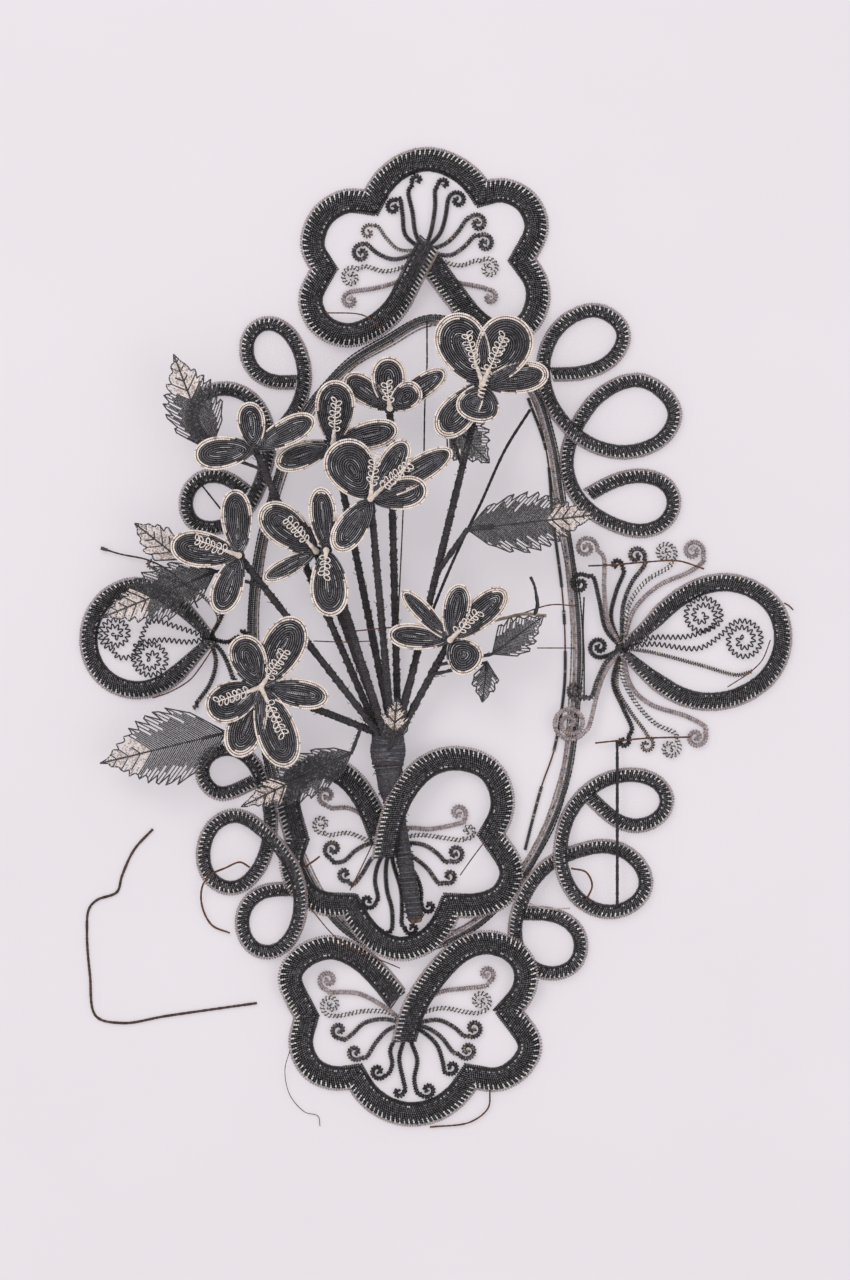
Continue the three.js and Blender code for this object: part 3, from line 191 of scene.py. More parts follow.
# Curled wires of each filigree, after the pixel of its tie: kind, middle of the spiral, its outer radius in
# pixels and the route of its arm. A third number of the middle is the layer that the curl lies on.
FILIGREES_PIXELS = {
    "pansy_filigree_top": ([423.5, 250.5], [
        ("black", [393.7, 207.5], 10.6, [[405.5, 235.5], [402.5, 214.5], [399.5, 198.5]]),
        ("black", [417.5, 180.5], 9, [[415.5, 233.5], [412.5, 212.5], [408.5, 190.5]]),
        ("black", [444, 184.5], 9, [[430.5, 233.5], [435, 207.5], [435.5, 188.5]]),
        ("black", [457.5, 200.5], 12, [[439.5, 234.5], [445.5, 216.5], [447.5, 202.5]]),
        ("dark", [477.5, 223.5], 12, [[444.5, 244.5], [457.5, 232.5], [467.5, 218.5]]),
        ("dark", [484.5, 243.5], 12, [[449.5, 255.5], [463.5, 247.5], [475.5, 235.5]]),
        ("striped", [488.5, 268.5], 13, [[445.5, 262.5], [461.5, 265.5], [476.5, 260.5]]),
        ("pale", [489.5, 297.5], 10.5, [[439.5, 272.5], [457.5, 282.5], [472.5, 285.5], [485.5, 288.5]]),
        ("rusty", [368.5, 232.5], 10.5, [[398.5, 249.5], [386.5, 238.5], [376.5, 225.5]]),
        ("dark", [361.5, 253.5], 12, [[394.5, 259.5], [377.5, 253.5], [365.5, 243.5]]),
        ("striped", [351.5, 277.5], 13, [[404.5, 266.5], [384.5, 271.5], [364.5, 266.5]]),
        ("pale", [350.5, 300.5], 11, [[403.5, 278.5], [386.5, 285.5], [368.5, 289.5], [352.5, 291.5]]),
    ]),
    "pansy_filigree_middle": ([389.8, 846], [
        ("pale", [327, 796], 12, [[374, 832], [362, 815], [348, 808], [330, 808]]),
        ("striped", [322, 824], 12, [[372, 842], [348, 833], [328, 835]]),
        ("dark", [333, 849], 12, [[369, 844], [355, 851], [344, 861], [333, 862]]),
        ("dark", [345, 874], 10, [[373, 857], [362, 874], [352, 885]]),
        ("black", [368, 901], 11, [[379, 862], [375, 880], [378, 899]]),
        ("black", [381, 931.2], 9, [[386, 868], [387, 890], [392, 910], [391, 931]]),
        ("black", [412, 928], 10, [[394, 866], [401, 890], [402, 912], [402, 925]]),
        ("black", [429, 906], 10, [[400, 858], [414, 872], [421, 890], [421, 903]]),
        ("dark", [449, 876], 10.5, [[413, 857], [427, 868], [440, 884]]),
        ("dark", [455, 853], 12, [[405, 843], [424, 845], [438, 854], [446, 862]]),
        ("striped", [468, 831], 10.5, [[403, 838], [420, 835], [445, 838], [462, 840]]),
        ("pale", [458, 813], 11, [[405, 829], [430, 829], [453, 825], [465, 821]]),
    ]),
    "pansy_filigree_bottom": ([406.5, 1024.5], [
        ("pale", [328.3, 980], 12.5, [[386.3, 1008], [360.3, 994], [343.3, 992], [329.3, 992]]),
        ("striped", [331.3, 1005], 13.5, [[390.3, 1013], [364.3, 1011], [348.3, 1014], [336.3, 1016]]),
        ("dark", [339.3, 1030], 11, [[385.3, 1019], [364.3, 1023], [352.3, 1034], [343.3, 1040]]),
        ("dark", [355.3, 1052], 11, [[389.3, 1029], [376.3, 1042], [365.3, 1058]]),
        ("black", [378.3, 1071], 11, [[397.3, 1036], [390.3, 1050], [392.3, 1064], [388.3, 1074]]),
        ("black", [398.3, 1091.5], 8.5, [[403.3, 1042], [399.3, 1058], [403.3, 1080], [405.3, 1090]]),
        ("black", [427.5, 1089.5], 10.8, [[411.3, 1042], [417.3, 1060], [414.3, 1080], [418.3, 1094]]),
        ("black", [451.3, 1067], 10, [[420.3, 1030], [436.3, 1044], [442.3, 1060], [445.3, 1073]]),
        ("dark", [467.3, 1050], 12, [[425.3, 1027], [440.3, 1036], [454.3, 1053]]),
        ("dark", [473.3, 1028], 12, [[425.3, 1021], [439.3, 1020], [455.3, 1028], [464.3, 1036]]),
        ("striped", [480.3, 1001], 13.5, [[422.3, 1013], [442.3, 1008], [466.3, 1012], [478.3, 1013]]),
        ("pale", [486.3, 974], 11, [[423.3, 1003], [440.3, 992], [468.3, 988], [487.3, 985]]),
    ]),
    "side_filigree_right": ([622, 648], [
        ("zigzag", [702.5, 616], 21, [[650, 638], [690, 636], [718, 624]]),
        ("zigzag", [743, 640], 22, [[650, 644], [700, 648], [722, 634]]),
        ("rusty", [752, 671], 3, [[650, 652], [700, 665], [738, 675]]),
        ("black", [616, 565], 9, [[611, 618], [616, 592], [624, 570]]),
        ("dark", [636, 556], 12, [[623, 606], [632, 582], [645, 564]]),
        ("striped", [665, 553], 14, [[629, 605], [645, 582], [670, 566]]),
        ("pale", [693, 551], 13.5, [[634, 610], [658, 586], [691, 571], [704, 560]]),
        ("black", [623, 741], 9.5, [[613, 682], [623, 708], [632, 730]]),
        ("rusty", [646, 745], 11, [[617, 686], [630, 711], [646, 733]]),
        ("striped", [670, 748], 13, [[622, 675], [636, 703], [656, 724], [676, 734]]),
        ("pale", [696, 737], 13, [[631, 686], [650, 704], [688, 717], [706, 728]]),
        ("black", [599, 647], 13.5, [[607, 656]]),
        ("black", [580, 584, 0.72], 13, [[606, 630], [599, 600], [592, 576]]),
        ("dark", [576, 690, 0.72], 12.5, [[606, 662], [597, 680], [590, 698]]),
        ("pale", [586, 548, 0.72], 14, [[608, 622], [604, 590], [603, 556]]),
        ("pale", [570, 723, 0.72], 19, [[605, 672], [597, 694], [588, 728]]),
    ]),
    "side_filigree_left": ([209, 638], [
        ("zigzag", [151, 658.5], 20, [[190, 642], [160, 640], [136, 645]]),
        ("zigzag", [115.5, 634], 18, [[180, 628], [150, 622], [134, 655], [118, 657]]),
        ("black", [242, 633], 8.3, [[228, 642]]),
        ("black", [238, 583], 9, [[219, 622], [226, 605], [233, 592]]),
        ("rusty", [152, 563, 1.8], 8, [[219, 618], [196, 590], [160, 574]]),
        ("dark", [194, 706], 6, [[216, 660], [211, 682], [199, 700]]),
        ("dark", [233, 681], 6, [[222, 652], [231, 672]]),
    ]),
}

# Flowers: the knot, its height off the table in millimetres, the place of the stem among the ten in the
# handle, the petals as tip, width in pixels and lift in millimetres, and the tips of the stamen strings
Flower = namedtuple("Flower", "name knot height slot petals stamens")
FLOWERS_PIXELS = [
    Flower("upper_right", [482, 386], 58, 4, [[447, 318, 62, 16], [519, 321, 66, 16], [548, 375, 38, 10],
           [474, 424, 52, 6], [438, 437, 44, 4]], [[466, 336], [504, 338]]),
    Flower("upper_middle", [390, 410], 46, 6, [[345, 378, 34, 12], [388, 358, 42, 14], [420, 388, 34, 12],
           [446, 372, 30, 8]], [[387, 384]]),
    Flower("upper_left", [334, 445], 48, 7, [[337, 382, 48, 20], [276, 466, 34, 8], [399, 430, 36, 14]],
           [[337, 402]]),
    Flower("centre", [371, 500], 66, 3, [[336, 444, 60, 10], [452, 452, 34, 14], [428, 490, 40, 10],
           [407, 442, 34, 14], [336, 552, 38, 8]], [[411, 464], [376, 455]]),
    Flower("far_left", [256, 450], 62, 9, [[196, 458, 40, 12], [250, 404, 34, 18], [316, 420, 34, 12]], []),
    Flower("left", [240, 556], 46, 1, [[172, 545, 44, 14], [220, 614, 38, 12], [236, 490, 38, 12]],
           [[197, 540]]),
    Flower("centre_left", [317, 552], 44, 8, [[262, 508, 48, 14], [264, 580, 24, 8]], [[288, 520]]),
    Flower("centre_low", [327, 551], 60, 2, [[321, 488, 34, 14], [332, 617, 46, 12]], [[325, 578]]),
    Flower("lower_left", [262, 687], 52, 0, [[240, 636, 44, 14], [300, 618, 52, 14], [330, 698, 36, 10],
           [290, 766, 50, 12], [236, 756, 46, 8], [208, 712, 48, 10]], [[219, 701], [287, 650],
           [285, 734]]),
    Flower("right", [450, 640], 48, 5, [[388, 634, 32, 10], [402, 591, 24, 14], [461, 584, 34, 18],
           [506, 590, 38, 18], [476, 670, 44, 10]], [[478, 612]]),
]

# Leaves: base, tip, width in pixels, height of both ends in millimetres, the flower on whose stem the stalk
# is tied, how far up that stem, and from where along the leaf its strands are pale
Leaf = namedtuple("Leaf", "name base tip width heights stem stem_share pale_share")
LEAVES_PIXELS = [
    Leaf("far_left", [212, 452], [175, 356], 56, [50, 44], "far_left", 0.93, 0.5),
    Leaf("upper", [446, 419], [489, 464], 48, [47, 46], "upper_right", 0.78, 2),
    Leaf("upper_right", [467, 530], [598, 515], 58, [44, 40], "upper_right", 0.5, 0.6),
    Leaf("left", [216, 572], [102, 618], 53, [34, 22], "left", 0.94, 0.56),
    Leaf("left_pale", [182, 560], [136, 524], 34, [38, 36], "left", 0.84, 0),
    Leaf("lower_left", [228, 732], [101, 763], 74, [34, 24], "lower_left", 0.9, 0.6),
    Leaf("lower", [352, 752], [242, 806], 44, [40, 34], "lower_left", 0.3, 0.58),
    Leaf("bundle", [393, 744], [397, 698], 30, [42, 47], "binding", 0, 0.25),
    Leaf("right", [492, 654], [543, 616], 38, [39, 42], "right", 0.78, 2),
    Leaf("lower_right", [487, 662], [482, 702], 26, [38, 38], "right", 0.7, 2),
]

rng = np.random.default_rng(11)


# Places and routes

def spot(pixel, height=None):
    """A pixel place of the photograph as a point, on its layer of bands or at the height given."""
    layer = pixel[2] if len(pixel) > 2 else 0
    x = (pixel[0] - MIDDLE_COLUMN_PIXEL) * METRES_PER_PIXEL + shift[0]
    y = (MIDDLE_ROW_PIXEL - pixel[1]) * METRES_PER_PIXEL + shift[1]
    return np.array([x, y, layer * LAYER_HEIGHT if height is None else height])


def spots(pixels, height=None):
    return np.array([spot(pixel, height) for pixel in pixels])


# The CAD model is centred on its box, and its binding tells by how much
shift = np.zeros(2)
binding_middle = np.mean(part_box("bouquet_binding"), axis=0)
shift = binding_middle[:2] - spot(BUNDLE_PIXEL)[:2]
bundle = spot(BUNDLE_PIXEL, BUNDLE_HEIGHT)

UP = np.array([0, 0, 1.0])
FULL_TURN = 2 * np.pi
SPLINE_SAMPLES = 16
TINY = 1e-6


def unit(vectors):
    lengths = np.linalg.norm(vectors, axis=-1, keepdims=True)
    return vectors / np.maximum(lengths, TINY ** 2)


def smooth_route(points, closed=False):
    """Fine points along a centripetal spline through the points given."""
    count = len(points)
    shares = np.linspace(0, 1, SPLINE_SAMPLES, endpoint=False)[:, None]
    spans = []
    for i in range(count if closed else count - 1):
        p1, p2 = points[i], points[(i + 1) % count]
        p0 = points[i - 1] if i > 0 or closed else 2 * p1 - p2
        p3 = points[(i + 2) % count] if i + 2 < count or closed else 2 * p2 - p1
        d0, d1, d2 = (max(np.linalg.norm(b - a) ** 0.5, TINY) for a, b in ((p0, p1), (p1, p2), (p2, p3)))
        t1 = ((p1 - p0) / d0 - (p2 - p0) / (d0 + d1) + (p2 - p1) / d1) * d1
        t2 = ((p2 - p1) / d1 - (p3 - p1) / (d1 + d2) + (p3 - p2) / d2) * d1
        cubic = 2 * p1 - 2 * p2 + t1 + t2
        square = -3 * p1 + 3 * p2 - 2 * t1 - t2
        spans.append(p1 + t1 * shares + square * shares ** 2 + cubic * shares ** 3)
    if not closed:
        spans.append(points[-1][None])
    route = np.concatenate(spans)
    route[:, 2] = np.maximum(route[:, 2], 0)
    return route


def lengths_along(route):
    steps = np.linalg.norm(np.diff(route, axis=0), axis=1)
    return np.concatenate([[0], np.cumsum(steps)])


def points_at(route, lengths, wanted):
    return np.stack([np.interp(wanted, lengths, route[:, k]) for k in range(3)], axis=1)


def closed_ways(points):
    return unit(np.roll(points, -1, axis=0) - np.roll(points, 1, axis=0))


def even_points(route, pitch, closed=False):
    """Points at an even pitch along a fine route, with the direction at each."""
    if closed:
        route = np.concatenate([route, route[:1]])
    lengths = lengths_along(route)
    count = max(int(round(lengths[-1] / pitch)), 2)
    points = points_at(route, lengths, (np.arange(count) + 0.5) * lengths[-1] / count)
    return points, closed_ways(points) if closed else unit(np.gradient(points, axis=0))


def fine_line(route, pitch):
    """Points at an even pitch along straight stretches, ends included."""
    lengths = lengths_along(route)
    return points_at(route, lengths, np.linspace(0, lengths[-1], max(int(lengths[-1] / pitch), 2)))


def level_right(ways):
    """The level direction to the right of each direction."""
    return unit(np.stack([ways[:, 1], -ways[:, 0], np.zeros(len(ways))], axis=1))


def wound_round(points, ways, samples, out, flatness=1):
    """A coil round the points, with the samples of a turn and the distance out that are given."""
    phase = np.arange(len(points)) * FULL_TURN / samples
    side = level_right(ways)
    up = np.cross(side, ways)
    return points + side * (np.cos(phase) * out)[:, None] + up * (np.sin(phase) * out * flatness)[:, None]


# Meshes of beads and tubes

BEAD_SIDES = 6
BEAD_END_SHARE = 0.55
TUBE_SIDES = 8
THREAD_SIDES = 6
FINE_SIDES = 4
STEEP_BEAD_SHARE = 0.9
STEEP_TUBE_SHARE = 0.97


def add_object(name, data):
    added = bpy.data.objects.new(name, data)
    bpy.context.scene.collection.objects.link(added)
    return added


def circles(ways, sides, steep_share, steep_helper):
    """Circles of unit radius across the directions."""
    helper = np.where(np.abs(ways[:, 2:]) > steep_share, [steep_helper], [UP])
    side = unit(np.cross(ways, helper))
    up = np.cross(side, ways)
    angles = (np.arange(sides) * FULL_TURN / sides)[:, None]
    return np.cos(angles) * side[:, None] + np.sin(angles) * up[:, None]


class Beads:
    """Collects beads, and thin tubes beside them, as one mesh."""

    def __init__(self):
        self.vertices, self.faces, self.slots, self.count = [], [], [], 0

    def add_rings(self, rings, slots, closed=False):
        """Strips of faces between rings of shape (strings, rings, sides, 3), with a slot to each string."""
        numbers = self.count + np.arange(rings[..., 0].size).reshape(rings.shape[:3])
        here = numbers if closed else numbers[:, :-1]
        there = np.roll(numbers, -1, axis=1) if closed else numbers[:, 1:]
        quads = np.stack([here, np.roll(here, -1, axis=2), np.roll(there, -1, axis=2), there], axis=-1)
        self.vertices.append(rings.reshape(-1, 3))
        self.faces.append(quads.reshape(-1, 4))
        self.slots.append(np.repeat(slots, quads.shape[1] * quads.shape[2]))
        self.count += numbers.size

    def add(self, centres, axes, radius, half_length, slots):
        """Round beads at the centres, their holes along the axes."""
        axes = unit(axes)
        circle = circles(axes, BEAD_SIDES, STEEP_BEAD_SHARE, [1.0, 0, 0])
        rings = []
        for along, share in ((-1, BEAD_END_SHARE), (0, 1), (1, BEAD_END_SHARE)):
            ring_centres = centres + axes * (half_length * along)
            rings.append(ring_centres[:, None] + circle * (radius * share))
        self.add_rings(np.stack(rings, axis=1), slots)

    def add_tube(self, points, radius, slot_number, sides=TUBE_SIDES, closed=False):
        """A tube through the points, with a radius for each or one for all."""
        ways = closed_ways(points) if closed else unit(np.gradient(points, axis=0))
        radii = np.broadcast_to(radius, len(points))[:, None, None]
        rings = points[:, None] + circles(ways, sides, STEEP_TUBE_SHARE, [0, 1.0, 0]) * radii
        self.add_rings(rings[None], [slot_number], closed)
        if not closed:
            self.cap(rings[0], slot_number)
            self.cap(rings[-1][::-1], slot_number)

    def cap(self, ring, slot_number):
        """Closes a tube's end with a fan of four-sided faces that share its middle."""
        sides = len(ring)
        first = np.arange(0, sides, 2)
        corners = [np.full(sides // 2, sides), (first + 2) % sides, (first + 1) % sides, first]
        self.vertices.append(np.concatenate([ring, ring.mean(axis=0)[None]]))
        self.faces.append(self.count + np.stack(corners, axis=1))
        self.slots.append(np.full(sides // 2, slot_number))
        self.count += sides + 1

    def build(self, name, body="wreath", nodes=()):
        vertices = np.concatenate(self.vertices).astype(np.float32)
        faces = np.concatenate(self.faces).astype(np.int32)
        used, slots = np.unique(np.concatenate(self.slots), return_inverse=True)
        mesh = bpy.data.meshes.new(name)
        mesh.vertices.add(len(vertices))
        mesh.vertices.foreach_set("co", vertices.ravel())
        mesh.loops.add(faces.size)
        mesh.loops.foreach_set("vertex_index", faces.ravel())
        mesh.polygons.add(len(faces))
        mesh.polygons.foreach_set("loop_start", np.arange(0, faces.size, 4, dtype=np.int32))
        mesh.polygons.foreach_set("use_smooth", np.ones(len(faces), bool))
        for number in used:
            mesh.materials.append(materials[number])
        mesh.polygons.foreach_set("material_index", slots.astype(np.int32).ravel())
        mesh.update(calc_edges=True)
        mesh.validate()
        piece = add_object(name, mesh)
        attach(piece, body)
        if nodes:
            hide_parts(*nodes)


# Materials

RAMP_POSITIONS = (0.35, 0.65)
NOISE_DETAIL = 4
GLOSS_SHARES = (0.8, 1.25)
BUMP_DEPTH = 0.1 * MM


def colour(hex_code):
    """Linear colour of an sRGB hex code."""
    parts = [int(hex_code[i:i + 2], 16) / 255 for i in (0, 2, 4)]
    return [c / 12.92 if c <= 0.04045 else ((c + 0.055) / 1.055) ** 2.4 for c in parts] + [1]


def link_all(links, rows):
    for source, output, target, socket in rows:
        links.new(source.outputs[output], target.inputs[socket])


def grained_material(name, dark, light, scale, roughness, metallic=0.0, bump=0.2, specular=0.5):
    """A material whose colour drifts between two shades over noise, with a fine bump."""
    material = bpy.data.materials.new(name)
    material.use_nodes = True
    nodes = material.node_tree.nodes
    shader = nodes["Principled BSDF"]
    shader.inputs["Metallic"].default_value = metallic
    shader.inputs["Specular IOR Level"].default_value = specular
    place = nodes.new("ShaderNodeTexCoord")
    noise = nodes.new("ShaderNodeTexNoise")
    noise.inputs["Scale"].default_value = scale
    noise.inputs["Detail"].default_value = NOISE_DETAIL
    ramp = nodes.new("ShaderNodeValToRGB")
    for element, position, shade in zip(ramp.color_ramp.elements, RAMP_POSITIONS, (dark, light)):
        element.position = position
        element.color = colour(shade)
    gloss = nodes.new("ShaderNodeMapRange")
    gloss.inputs["To Min"].default_value = roughness * GLOSS_SHARES[0]
    gloss.inputs["To Max"].default_value = min(roughness * GLOSS_SHARES[1], 1)
    relief = nodes.new("ShaderNodeBump")
    relief.inputs["Strength"].default_value = bump
    relief.inputs["Distance"].default_value = BUMP_DEPTH
    link_all(material.node_tree.links, (
        (place, "Object", noise, "Vector"),
        (noise, "Fac", ramp, "Fac"),
        (noise, "Fac", gloss, "Value"),
        (noise, "Fac", relief, "Height"),
        (ramp, "Color", shader, "Base Color"),
        (gloss, "Result", shader, "Roughness"),
        (relief, "Normal", shader, "Normal"),
    ))
    return material


materials = []


def material_number(*settings, **more):
    materials.append(grained_material(*settings, **more))
    return len(materials) - 1


BLACK = material_number("bead_black", "1b1718", "2d2829", 260, 0.3)
DARK = material_number("bead_dark", "2a2527", "403a3d", 260, 0.32)
HEMATITE = material_number("bead_hematite", "464247", "625d62", 260, 0.3, metallic=0.35)
STEEL = material_number("bead_steel", "5f5c63", "7e7a82", 260, 0.3, metallic=0.4)
SILVER = material_number("bead_silver", "a3a3a8", "c6c4c6", 260, 0.3, metallic=0.3)
WHITE = material_number("bead_white", "d6d0cb", "efeae6", 320, 0.45)
PINKISH = material_number("bead_pinkish", "9d8c91", "c0b0b1", 200, 0.5)
GREYISH = material_number("bead_greyish", "7d757a", "9f979b", 200, 0.5)
CREAM = material_number("bead_cream", "d6c5ba", "f0e4dc", 200, 0.5)
TAN = material_number("bead_tan", "7f6c5c", "a08d7a", 160, 0.55)
RUST = material_number("wire_rust", "3a2620", "744a36", 420, 0.8, metallic=0.2, bump=0.5)
OLD_WIRE = material_number("wire_old", "5d4a45", "9a7f76", 300, 0.7, metallic=0.3, bump=0.4)
IRON = material_number("wire_iron", "2b2120", "5a423a", 300, 0.75, metallic=0.3, bump=0.5)
THREAD = material_number("thread_black", "262226", "524d53", 700, 0.85, bump=0.6)
WORN_THREAD = material_number("thread_worn", "2a2421", "5e4d42", 500, 0.9, bump=0.6)
# Paler thread coiled over the dark thread: painted highlight on the windings
THREAD_PAINTED_HIGHLIGHT = material_number("thread_sheen", "34343b", "6d6c76", 500, 0.6, bump=0.5)
WOOD = material_number("wood_end", "3b2a20", "7c5a40", 180, 0.85, bump=0.6)
ROD = material_number("rod_black", "141214", "302c30", 500, 0.8, bump=0.5)
# Near-black sheet under the band's bead rows: painted shade in the gaps between the beads
PAINTED_SHADE = material_number("gauze_black", "0b0b0c", "17161a", 400, 0.9)


def picked(count, shares):
    """A seeded choice of materials, by share of the whole."""
    numbers = np.array(list(shares))
    weights = np.array(list(shares.values()), float)
    return rng.choice(numbers, size=count, p=weights / weights.sum())


# Bands

BAND_SOFTENING = 14
SCROLL_SOFTENING = 40
CORNER_REACH_SHARE = 3.2
TAPER_LENGTH = 42 * MM
BAND_SLANT_SHARE = 0.3
ROW_JITTER = 0.06 * BEAD
ROPE_SHARES = {PINKISH: 9, GREYISH: 3, TAN: 1}
OUTER_DASH_SHARES = {WHITE: 6, SILVER: 4, GREYISH: 1}
INNER_DASH_SHARES = {SILVER: 5, WHITE: 1, STEEL: 2}
BETWEEN_DASHES_SHARES = {BLACK: 7, DARK: 3}
MIDDLE_SHARES = {BLACK: 1, DARK: 6, HEMATITE: 7}
INNER_LINE_SHARES = {STEEL: 4, SILVER: 2, DARK: 2}
INNER_EDGE_SHARES = {BLACK: 8, DARK: 3}
OUTER_DASH_SPAN_SHARE = 0.2
MIDDLE_FROM_SHARE = -0.52
INNER_LINE_FROM_SHARE = -0.7
# The black shell of painted shade under the bead rows
BACKING_SIDES = 9
BACKING_ARC_SHARE = 0.47
BACKING_DEPTHS = (0.75 * BEAD, 1.05 * BEAD)
BACKING_LEAST_HEIGHT = 0.1 * MM
BACKING_LEAST_COSINE = 0.3
MITRE_OVERLAP = 0.3 * BEAD


def softened(points, times):
    """Evens out the corners of a run in plan, its ends and heights kept."""
    plan = points[:, :2].copy()
    for _ in range(times):
        plan[1:-1] = (plan[:-2] + 2 * plan[1:-1] + plan[2:]) / 4
    return even_points(np.concatenate([plan, points[:, 2:]], axis=1), BEAD)


def lengthened(points, ways, reach, at_start, at_end):
    """Carries a run straight on, past the ends that are asked for."""
    steps = (np.arange(int(reach / BEAD)) + 1)[:, None] * BEAD
    if at_start:
        points = np.concatenate([points[0] - ways[0] * steps[::-1], points])
        ways = np.concatenate([np.repeat(ways[:1], len(steps), axis=0), ways])
    if at_end:
        points = np.concatenate([points, points[-1] + ways[-1] * steps])
        ways = np.concatenate([ways, np.repeat(ways[-1:], len(steps), axis=0)])
    return points, ways


def corner_planes(routes, k):
    """Where run k meets its neighbours: a point and a direction into the run at each corner."""
    planes = []
    for corner, other, meeting in ((0, k - 1, -1), (-1, k + 1, 0)):
        if 0 <= other < len(routes):
            points, ways = routes[k]
            inward = unit(ways[corner] + routes[other][1][meeting])
            inward[2] = 0
            middle = (points[corner] + routes[other][0][meeting]) / 2
            planes.append((middle, inward if corner == 0 else -inward))
    return planes


def near(place, tested, half):
    """Whether the tested points are close enough to a corner to be cut by its plane."""
    return np.linalg.norm((tested - place)[..., :2], axis=-1) < CORNER_REACH_SHARE * half


def band_slots(share, rows, style):
    """The material of each bead, by its place between the inner edge (-1) and the outer edge (1)."""
    count = len(rows)
    if share > style.rope_share:
        return picked(count, ROPE_SHARES)
    if share > style.dashes_share:
        is_outer = share > style.dashes_share + OUTER_DASH_SPAN_SHARE
        pale = picked(count, OUTER_DASH_SHARES if is_outer else INNER_DASH_SHARES)
        return np.where(rows % 2 == 0, pale, picked(count, BETWEEN_DASHES_SHARES))
    if share > MIDDLE_FROM_SHARE:
        return picked(count, MIDDLE_SHARES)
    if share > INNER_LINE_FROM_SHARE:
        return np.where(rows % 3 > 0, picked(count, INNER_LINE_SHARES), picked(count, {BLACK: 1}))
    return picked(count, INNER_EDGE_SHARES)


def add_painted_shade_shell(piece, points, ways, across, half, rise, planes):
    """Painted shade under the bead rows: a thin black shell of the gutter's shape that stops at the corner
    planes, so that the gaps between the rows read dark.
    """
    arc = np.linspace(-BACKING_ARC_SHARE, BACKING_ARC_SHARE, BACKING_SIDES) * np.pi
    outline = np.stack([np.sin(arc), np.cos(arc)], axis=1)
    rings = []
    for depth, shape in zip(BACKING_DEPTHS, (outline, outline[::-1])):
        side = across[:, None] * (shape[:, 0] * (half - depth))[None, :, None]
        rings.append(points[:, None] + side + (shape[:, 1] * (rise - depth))[None, :, None] * UP)
    shell = np.concatenate(rings, axis=1)
    for place, inward in planes:
        short = np.where(near(place, shell, half), np.minimum((shell - place) @ inward, 0), 0)
        along = np.maximum(np.abs(ways @ inward), BACKING_LEAST_COSINE) * np.where(ways @ inward < 0, -1, 1)
        shell = shell - ways[:, None] * (short / along[:, None])[:, :, None]
    shell[:, :, 2] = np.maximum(shell[:, :, 2], BACKING_LEAST_HEIGHT)
    piece.add_rings(shell[None], [PAINTED_SHADE])


def add_bead_lines(piece, points, ways, across, half, rise, planes, style):
    """The bead rows of a run, laid as lines of beads side by side over the gutter section."""
    rows = np.arange(len(points))
    half_length = np.pi * math.hypot(half, rise) / math.sqrt(2) / style.beads_across / 2
    for angle in ((np.arange(style.beads_across) + 0.5) / style.beads_across - 0.5) * np.pi:
        sine, cosine = math.sin(angle), math.cos(angle)
        jitter = rng.normal(0, ROW_JITTER, (len(points), 1))
        slant = BAND_SLANT_SHARE * half
        centres = points + ways * (slant * sine) + across * (half * sine + jitter) + UP * (rise * cosine)
        centres[:, 2] = np.maximum(centres[:, 2], BEAD / 2)
        axes = across * half * cosine - UP * rise * sine + ways * (slant * cosine)
        keep = np.ones(len(points), bool)
        for place, inward in planes:
            keep &= ((centres - place) @ inward > -MITRE_OVERLAP) | ~near(place, centres, half)
        slots = band_slots(sine, rows, style)
        if keep.any():
            piece.add(centres[keep], axes[keep], BEAD / 2, half_length, slots[keep])


def band_piece(node, style, outer, reach, taper, runs):
    """A band of short bead rows over a gutter section, mitred where its runs meet. outer is 1 where the
    outer edge is on the right, reach is how far its free ends go on and taper the share of width they keep."""
    times = BAND_SOFTENING if len(runs) > 1 else SCROLL_SOFTENING
    routes = [softened(even_points(smooth_route(spots(run)), BEAD)[0], times) for run in runs]
    half, rise = (style.width - BEAD) / 2, BAND_RISE - BEAD / 2
    piece = Beads()
    for k, (points, ways) in enumerate(routes):
        planes = corner_planes(routes, k)
        is_first, is_last = k == 0, k == len(routes) - 1
        points, ways = lengthened(points, ways, half, not is_first, not is_last)
        if reach:
            points, ways = lengthened(points, ways, reach, is_first, is_last)
        numbers = np.arange(len(points))
        from_end = np.minimum(numbers, numbers[::-1]) * BEAD
        across = level_right(ways) * outer * np.interp(from_end, [0, TAPER_LENGTH], [taper, 1])[:, None]
        # Painted shade: a black shell under the rows that darkens the gaps between them
        add_painted_shade_shell(piece, points, ways, across, half, rise, planes)
        add_bead_lines(piece, points, ways, across, half, rise, planes, style)
    piece.build("beads_" + node, nodes=(node,))


# Curled wires

SPIRAL_SAMPLES = 48
CURL_TURN_PITCH = 6.1 * MM
CURL_TIGHTENING_POWER = 1.0
WIDE_CURL_RADIUS_PIXELS = 14
WIDE_CURL_TURNS = 2.3
WIDE_CURL_TIGHTENING_POWER = 1.5
CURL_INNER_SHARE = 0.06
CURL_RISE_POINTS = 2
CORE_BEAD_SHARE = 0.8
COIL_BEAD_SHARE = 0.55
COARSE_COIL_PITCH = 4 * MM
FINE_COIL_SAMPLES = 7
COARSE_COIL_SAMPLES = 10
TIE_BALL_SHARE = 0.85

